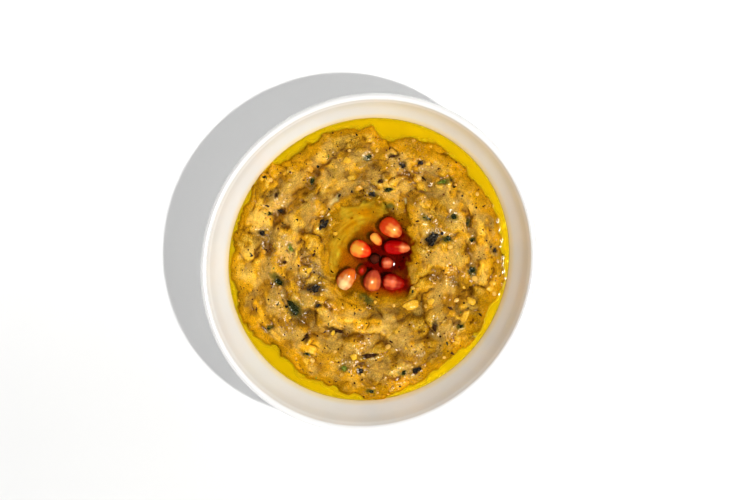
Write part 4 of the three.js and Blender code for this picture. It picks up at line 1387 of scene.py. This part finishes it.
class SERVING_OT_bowl(bpy.types.Operator):
    """Make the glazed bowl"""

    bl_idname = "serving.bowl"
    bl_label = "Bowl"

    def execute(self, context):
        make_bowl(context.scene.serving_bowl)
        return {"FINISHED"}


class SERVING_OT_mash(bpy.types.Operator):
    """Make the mash"""

    bl_idname = "serving.mash"
    bl_label = "Mash"

    def execute(self, context):
        make_mash(context.scene.serving_mash)
        return {"FINISHED"}


class SERVING_OT_oil(bpy.types.Operator):
    """Make the oil round the mash and in its well"""

    bl_idname = "serving.oil"
    bl_label = "Oil"

    def execute(self, context):
        make_moat_oil(context.scene.serving_oil)
        make_well_oil(context.scene.serving_oil)
        return {"FINISHED"}


class SERVING_OT_arils(bpy.types.Operator):
    """Make the pomegranate arils"""

    bl_idname = "serving.arils"
    bl_label = "Arils"

    def execute(self, context):
        make_arils()
        return {"FINISHED"}


class SERVING_OT_bits(bpy.types.Operator):
    """Make the bits of herb, char and skin"""

    bl_idname = "serving.bits"
    bl_label = "Herb, char and skin"

    def execute(self, context):
        make_bits(context.scene.serving_garnish)
        return {"FINISHED"}


class SERVING_OT_specks(bpy.types.Operator):
    """Make the specks, seeds and yellow bits"""

    bl_idname = "serving.specks"
    bl_label = "Specks and seeds"

    def execute(self, context):
        make_specks(context.scene.serving_garnish)
        return {"FINISHED"}


OPERATORS = (
    SERVING_OT_stage, SERVING_OT_bowl, SERVING_OT_mash, SERVING_OT_oil, SERVING_OT_arils, SERVING_OT_bits,
    SERVING_OT_specks,
)
SETTINGS = {
    "serving_bowl": BowlSettings,
    "serving_mash": MashSettings,
    "serving_oil": OilSettings,
    "serving_garnish": GarnishSettings,
    "serving_stage": StageSettings,
}


class VIEW3D_PT_serving(bpy.types.Panel):
    """Lists the pieces of the serving and their settings"""

    bl_label = "Serving"
    bl_idname = "VIEW3D_PT_serving"
    bl_space_type = "VIEW_3D"
    bl_region_type = "UI"
    bl_category = "Serving"

    def draw(self, context):
        for operator in OPERATORS:
            self.layout.operator(operator.bl_idname)
        for key in SETTINGS:
            box = self.layout.box()
            group = getattr(context.scene, key)
            for name in group.__annotations__:
                box.prop(group, name)


def register():
    for group in SETTINGS.values():
        bpy.utils.register_class(group)
    for key, group in SETTINGS.items():
        setattr(bpy.types.Scene, key, PointerProperty(type=group))
    for item in (*OPERATORS, VIEW3D_PT_serving):
        bpy.utils.register_class(item)


def unregister():
    for item in (VIEW3D_PT_serving, *reversed(OPERATORS)):
        bpy.utils.unregister_class(item)
    for key, group in SETTINGS.items():
        delattr(bpy.types.Scene, key)
        bpy.utils.unregister_class(group)


def main():
    """Make every piece in order."""
    register()
    bpy.ops.serving.stage()
    bpy.ops.serving.bowl()
    bpy.ops.serving.mash()
    bpy.ops.serving.oil()
    bpy.ops.serving.arils()
    bpy.ops.serving.bits()
    bpy.ops.serving.specks()


if __name__ == "__main__":
    main()
